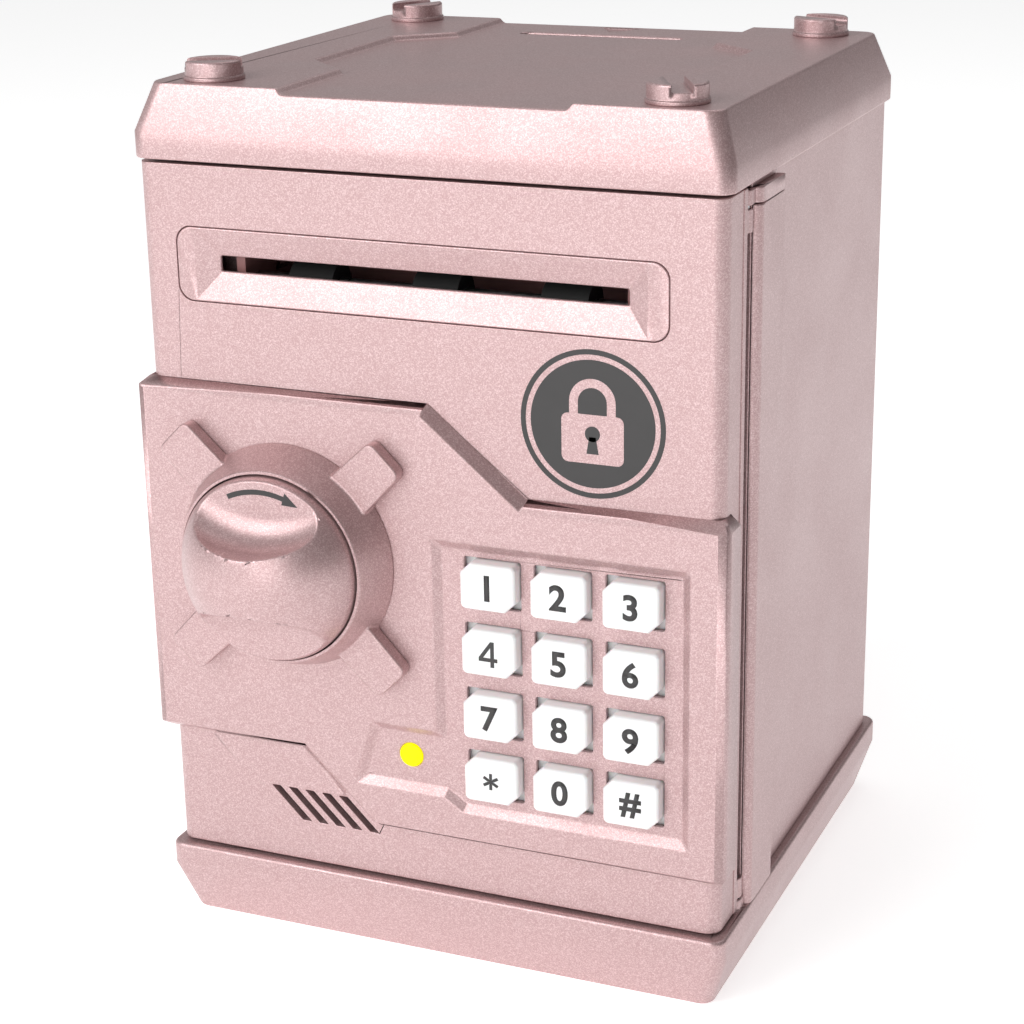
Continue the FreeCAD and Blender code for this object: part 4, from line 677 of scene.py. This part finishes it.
class COINBANK_OT_keys(bpy.types.Operator):
    """Finish the twelve keys and print a digit or sign on each"""

    bl_idname = "coinbank.keys"
    bl_label = "Keys"

    def execute(self, context):
        plastic = finish_named("satin_white_key_plastic", key_plastic)
        ink = finish_named("dark_pad_print_ink", print_ink)
        for node, sign in KEY_GLYPHS.items():
            cover(node, plastic)
            self.print_sign(node, sign, ink)
        return {"FINISHED"}

    def print_sign(self, node, sign, ink):
        marks = settings().print_marks
        low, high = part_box(node)
        drawers = {"4": self.draw_four, "*": self.draw_star}
        bm = drawers[sign]() if sign in drawers else self.draw_text(sign)
        xs = [vert.co.x for vert in bm.verts]
        ys = [vert.co.y for vert in bm.verts]
        share = marks.star_share if sign == "*" else 1.0
        size = marks.glyph_height * share / (max(ys) - min(ys))
        middle = Vector(((min(xs) + max(xs)) / 2, (min(ys) + max(ys)) / 2, 0.0))
        bmesh.ops.translate(bm, verts=bm.verts, vec=-middle)
        bmesh.ops.scale(bm, verts=bm.verts, vec=(size, size, size))
        thicken(bm, marks.thickness)
        place = facing_front((low.x + high.x) / 2, (low.z + high.z) / 2, low.y)
        bmesh.ops.transform(bm, matrix=place, verts=bm.verts)
        piece_from(bm, "sign_on_" + node, ink, body_of_node(node))

    def draw_text(self, sign):
        """Flat letterform of one digit or sign, slightly emboldened."""
        curve = bpy.data.curves.new("sign", "FONT")
        curve.body = sign
        curve.size = 1.0
        curve.offset = settings().print_marks.embolden
        curve.resolution_u = 8
        text = bpy.data.objects.new("sign", curve)
        bpy.context.scene.collection.objects.link(text)
        bpy.context.view_layer.update()
        flat = bpy.data.meshes.new_from_object(text)
        bpy.data.objects.remove(text)
        bm = bmesh.new()
        bm.from_mesh(flat)
        bpy.data.meshes.remove(flat)
        bmesh.ops.remove_doubles(bm, verts=bm.verts, dist=GLYPH_MERGE)
        return bm

    def draw_four(self):
        """A four of height one: stem, crossbar and a slanted stroke."""
        left, right, end = 0.46, 0.61, 0.74
        under, over = 0.21, 0.36
        inside, inner_top = 0.175, 0.762
        faces = (
            ((left, 0.0), (right, 0.0), (right, under), (left, under)),
            ((left, under), (right, under), (right, over), (left, over)),
            ((right, under), (end, under), (end, over), (right, over)),
            ((0.0, under), (left, under), (left, over), (inside, over), (0.0, over)),
            ((0.0, over), (inside, over), (left, inner_top), (left, 1.0)),
            ((left, over), (right, over), (right, 1.0), (left, 1.0), (left, inner_top)),
        )
        bm = bmesh.new()
        for corners in faces:
            bm.faces.new([bm.verts.new((x, y, 0.0)) for x, y in corners])
        bmesh.ops.remove_doubles(bm, verts=bm.verts, dist=GLYPH_MERGE)
        return bm

    def draw_star(self):
        """Short arms, one from each side of a hub."""
        hub, reach = 0.18, 0.5
        step = 360.0 / STAR_ARMS
        bm = bmesh.new()
        disc(bm, hub, STAR_ARMS)
        for number in range(STAR_ARMS):
            turn = math.radians(step * number + step / 2)
            along = Vector((math.cos(turn), math.sin(turn), 0.0))
            across = Vector((-along.y, along.x, 0.0)) * hub / 2
            root = along * hub * math.cos(math.radians(step / 2))
            tip = along * reach
            corners = (root - across, tip - across, tip + across, root + across)
            bm.faces.new([bm.verts.new(corner) for corner in corners])
        bmesh.ops.remove_doubles(bm, verts=bm.verts, dist=GLYPH_MERGE)
        return bm


class COINBANK_OT_badge(bpy.types.Operator):
    """Print a plain round badge with a padlock on the door"""

    bl_idname = "coinbank.badge"
    bl_label = "Padlock Badge"

    def execute(self, context):
        marks = settings().print_marks
        ink = finish_named("dark_pad_print_ink", print_ink)
        paint = finish_named("rose_gold_satin_paint", rose_paint)
        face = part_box("door_shell")[0].y + DOOR_PAD_RELIEF
        unit = marks.badge_radius
        layers = (
            ("badge_ring", ink, 0.0,
             lambda bm: arc_band(bm, unit * RING_INNER, unit, 0.0, FULL_TURN, 72)),
            ("badge_disc", ink, 0.0, lambda bm: disc(bm, unit * DISC_RADIUS, 72)),
            ("badge_padlock", paint, marks.thickness, lambda bm: self.padlock(bm, unit)),
            ("badge_keyhole", ink, 2 * marks.thickness, lambda bm: self.keyhole(bm, unit)),
        )
        for name, material, lift, draw in layers:
            bm = bmesh.new()
            draw(bm)
            thicken(bm, marks.thickness)
            place = facing_front(marks.badge_x, marks.badge_z, face - lift)
            bmesh.ops.transform(bm, matrix=place, verts=bm.verts)
            piece_from(bm, name, material, body_of_node("door_shell"))
        return {"FINISHED"}

    def padlock(self, bm, unit):
        """Padlock body with round corners, and its shackle."""
        body = bmesh.ops.create_grid(bm, x_segments=1, y_segments=1, size=0.5)["verts"]
        bmesh.ops.scale(bm, verts=body, vec=(unit * LOCK_WIDTH, unit * LOCK_HEIGHT, 1.0))
        bmesh.ops.bevel(
            bm, geom=body, offset=unit * LOCK_CORNER, segments=5, profile=0.5,
            affect="VERTICES", material=-1)
        bmesh.ops.translate(bm, verts=bm.verts, vec=(0.0, -unit * LOCK_DROP, 0.0))
        shackle = bmesh.new()
        arc_band(shackle, unit * SHACKLE_INNER, unit * SHACKLE_OUTER, 0.0, math.pi, 24)
        legs = [
            edge for edge in shackle.edges if all(abs(v.co.y) < ROUNDING for v in edge.verts)]
        grown = bmesh.ops.extrude_edge_only(shackle, edges=legs)
        feet = [item for item in grown["geom"] if isinstance(item, bmesh.types.BMVert)]
        bmesh.ops.translate(shackle, verts=feet, vec=(0.0, -unit * SHACKLE_LEG, 0.0))
        bmesh.ops.translate(shackle, verts=shackle.verts, vec=(0.0, unit * SHACKLE_RISE, 0.0))
        mesh = bpy.data.meshes.new("shackle")
        shackle.to_mesh(mesh)
        shackle.free()
        bm.from_mesh(mesh)
        bpy.data.meshes.remove(mesh)

    def keyhole(self, bm, unit):
        """Round hole over a flared slot."""
        eye = disc(bm, unit * EYE_RADIUS, 32)
        bmesh.ops.translate(bm, verts=eye, vec=(0.0, -unit * EYE_DROP, 0.0))
        bm.faces.new([bm.verts.new((unit * x, unit * y, 0.0)) for x, y in SLOT_CORNERS])


class COINBANK_OT_dial_arrow(bpy.types.Operator):
    """Print a plain curved arrow in the dial's upper hollow"""

    bl_idname = "coinbank.dial_arrow"
    bl_label = "Dial Arrow"

    def execute(self, context):
        marks = settings().print_marks
        low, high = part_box("knob_dial")
        radius = marks.arrow_radius
        half = marks.arrow_width / 2
        tail, neck, tip = ARROW_ANGLES
        bm = bmesh.new()
        arc_band(bm, radius - half, radius + half, tail, neck, 18)
        head = ARROW_HEAD * half
        barbs = [(radius - head, neck), (radius + head, neck), (radius, tip)]
        bm.faces.new([bm.verts.new((r * math.cos(a), r * math.sin(a), 0.0)) for r, a in barbs])
        thicken(bm, marks.thickness)
        place = facing_front((low.x + high.x) / 2, (low.z + high.z) / 2, DIAL_HOLLOW_FLOOR)
        bmesh.ops.transform(bm, matrix=place, verts=bm.verts)
        ink = finish_named("dark_pad_print_ink", print_ink)
        piece_from(bm, "dial_arrow", ink, body_of_node("knob_dial"))
        return {"FINISHED"}


class COINBANK_OT_lamp(bpy.types.Operator):
    """Finish the indicator lamp"""

    bl_idname = "coinbank.lamp"
    bl_label = "Indicator Lamp"

    def execute(self, context):
        cover("led_lens", finish_named("yellow_lamp_lens", lamp_lens))
        return {"FINISHED"}


class COINBANK_OT_stage(bpy.types.Operator):
    """Lay the floor, light it softly and set the camera"""

    bl_idname = "coinbank.stage"
    bl_label = "Stage"

    def execute(self, context):
        stage = settings().stage
        self.floor(stage)
        self.world(stage)
        for row in LAMPS:
            self.lamp(*row)
        self.camera(stage)
        return {"FINISHED"}

    def floor(self, stage):
        """Pale floor with a faint glow of its own."""
        bm = bmesh.new()
        bmesh.ops.create_grid(bm, x_segments=1, y_segments=1, size=FLOOR_HALF_WIDTH)
        mesh = bpy.data.meshes.new("floor")
        bm.to_mesh(mesh)
        bm.free()
        floor = bpy.data.objects.new("floor", mesh)
        bpy.context.scene.collection.objects.link(floor)
        finish = Finish("pale_floor_paper")
        haze = finish.group(haze_group(), Low=0.85, High=0.95, Scale=3.0)
        finish.link(haze.outputs["Roughness"], "Roughness")
        finish.set(Base_Color=(*stage.floor, 1.0), Specular_IOR_Level=0.0)
        finish.set(Emission_Color=WHITE, Emission_Strength=FLOOR_GLOW)
        give(floor, finish.material)

    def world(self, stage):
        """Even light that weakens to the right, behind a white backdrop."""
        world = bpy.data.worlds.new("studio")
        world.use_nodes = True
        background = world.node_tree.nodes["Background"]
        background.inputs["Color"].default_value = WHITE
        tree = world.node_tree
        split = tree.nodes.new("ShaderNodeSeparateXYZ")
        direction = tree.nodes.new("ShaderNodeTexCoord").outputs["Generated"]
        tree.links.new(direction, split.inputs["Vector"])
        fall = tree.nodes.new("ShaderNodeMapRange")
        fall.inputs["From Min"].default_value = -0.2
        fall.inputs["From Max"].default_value = 0.9
        fall.inputs["To Min"].default_value = stage.ambient
        fall.inputs["To Max"].default_value = stage.ambient * stage.right_share
        tree.links.new(split.outputs["X"], fall.inputs["Value"])
        seen = tree.nodes.new("ShaderNodeLightPath").outputs["Is Camera Ray"]
        strength = math_node(tree, "MAXIMUM", fall.outputs["Result"], seen)
        tree.links.new(strength, background.inputs["Strength"])
        bpy.context.scene.world = world
        bpy.context.scene.view_settings.view_transform = "Standard"

    def lamp(self, name, place, size, power):
        """Round area light turned towards the middle of the bank."""
        light = bpy.data.lights.new(name, "AREA")
        light.shape = "DISK"
        light.size = size
        light.energy = power
        lamp = bpy.data.objects.new(name, light)
        bpy.context.scene.collection.objects.link(lamp)
        lamp.location = place
        lamp.rotation_mode = "QUATERNION"
        lamp.rotation_quaternion = (MIDDLE - lamp.location).to_track_quat("-Z", "Y")

    def camera(self, stage):
        """Camera set back from the middle, slid along its own axes and rolled."""
        a, e, r = stage.azimuth, stage.elevation, stage.roll
        back = Vector((math.sin(a) * math.cos(e), -math.cos(a) * math.cos(e), math.sin(e)))
        level = Vector((math.cos(a), math.sin(a), 0.0))
        upright = back.cross(level)
        right = math.cos(r) * level + math.sin(r) * upright
        up = -math.sin(r) * level + math.cos(r) * upright
        data = bpy.data.cameras.new("camera")
        data.lens = stage.lens
        data.sensor_width = SENSOR_WIDTH
        data.clip_start = 0.01
        data.clip_end = 50.0
        camera = bpy.data.objects.new("camera", data)
        bpy.context.scene.collection.objects.link(camera)
        place = MIDDLE + back * stage.distance + right * stage.slide + up * stage.rise
        turn = Matrix((right, up, back)).transposed().to_4x4()
        camera.matrix_world = Matrix.Translation(place) @ turn
        bpy.context.scene.camera = camera


class COINBANK_PT_panel(bpy.types.Panel):
    """Steps that finish the coin bank"""

    bl_label = "Coin Bank"
    bl_idname = "COINBANK_PT_panel"
    bl_space_type = "VIEW_3D"
    bl_region_type = "UI"
    bl_category = "Coin Bank"

    def draw(self, context):
        for operator in OPERATORS:
            self.layout.operator(operator.bl_idname)


OPERATORS = (
    COINBANK_OT_stage,
    COINBANK_OT_shells,
    COINBANK_OT_works,
    COINBANK_OT_keys,
    COINBANK_OT_badge,
    COINBANK_OT_dial_arrow,
    COINBANK_OT_lamp,
)
CLASSES = (
    PaintSettings, PrintSettings, KeySettings, StageSettings, CoinBankSettings,
) + OPERATORS + (COINBANK_PT_panel,)


def register():
    for item in CLASSES:
        bpy.utils.register_class(item)
    bpy.types.Scene.coin_bank = PointerProperty(type=CoinBankSettings)


def unregister():
    del bpy.types.Scene.coin_bank
    for item in reversed(CLASSES):
        bpy.utils.unregister_class(item)


def main():
    register()
    bpy.ops.coinbank.stage()
    bpy.ops.coinbank.shells()
    bpy.ops.coinbank.works()
    bpy.ops.coinbank.keys()
    bpy.ops.coinbank.badge()
    bpy.ops.coinbank.dial_arrow()
    bpy.ops.coinbank.lamp()


if __name__ == "__main__":
    main()
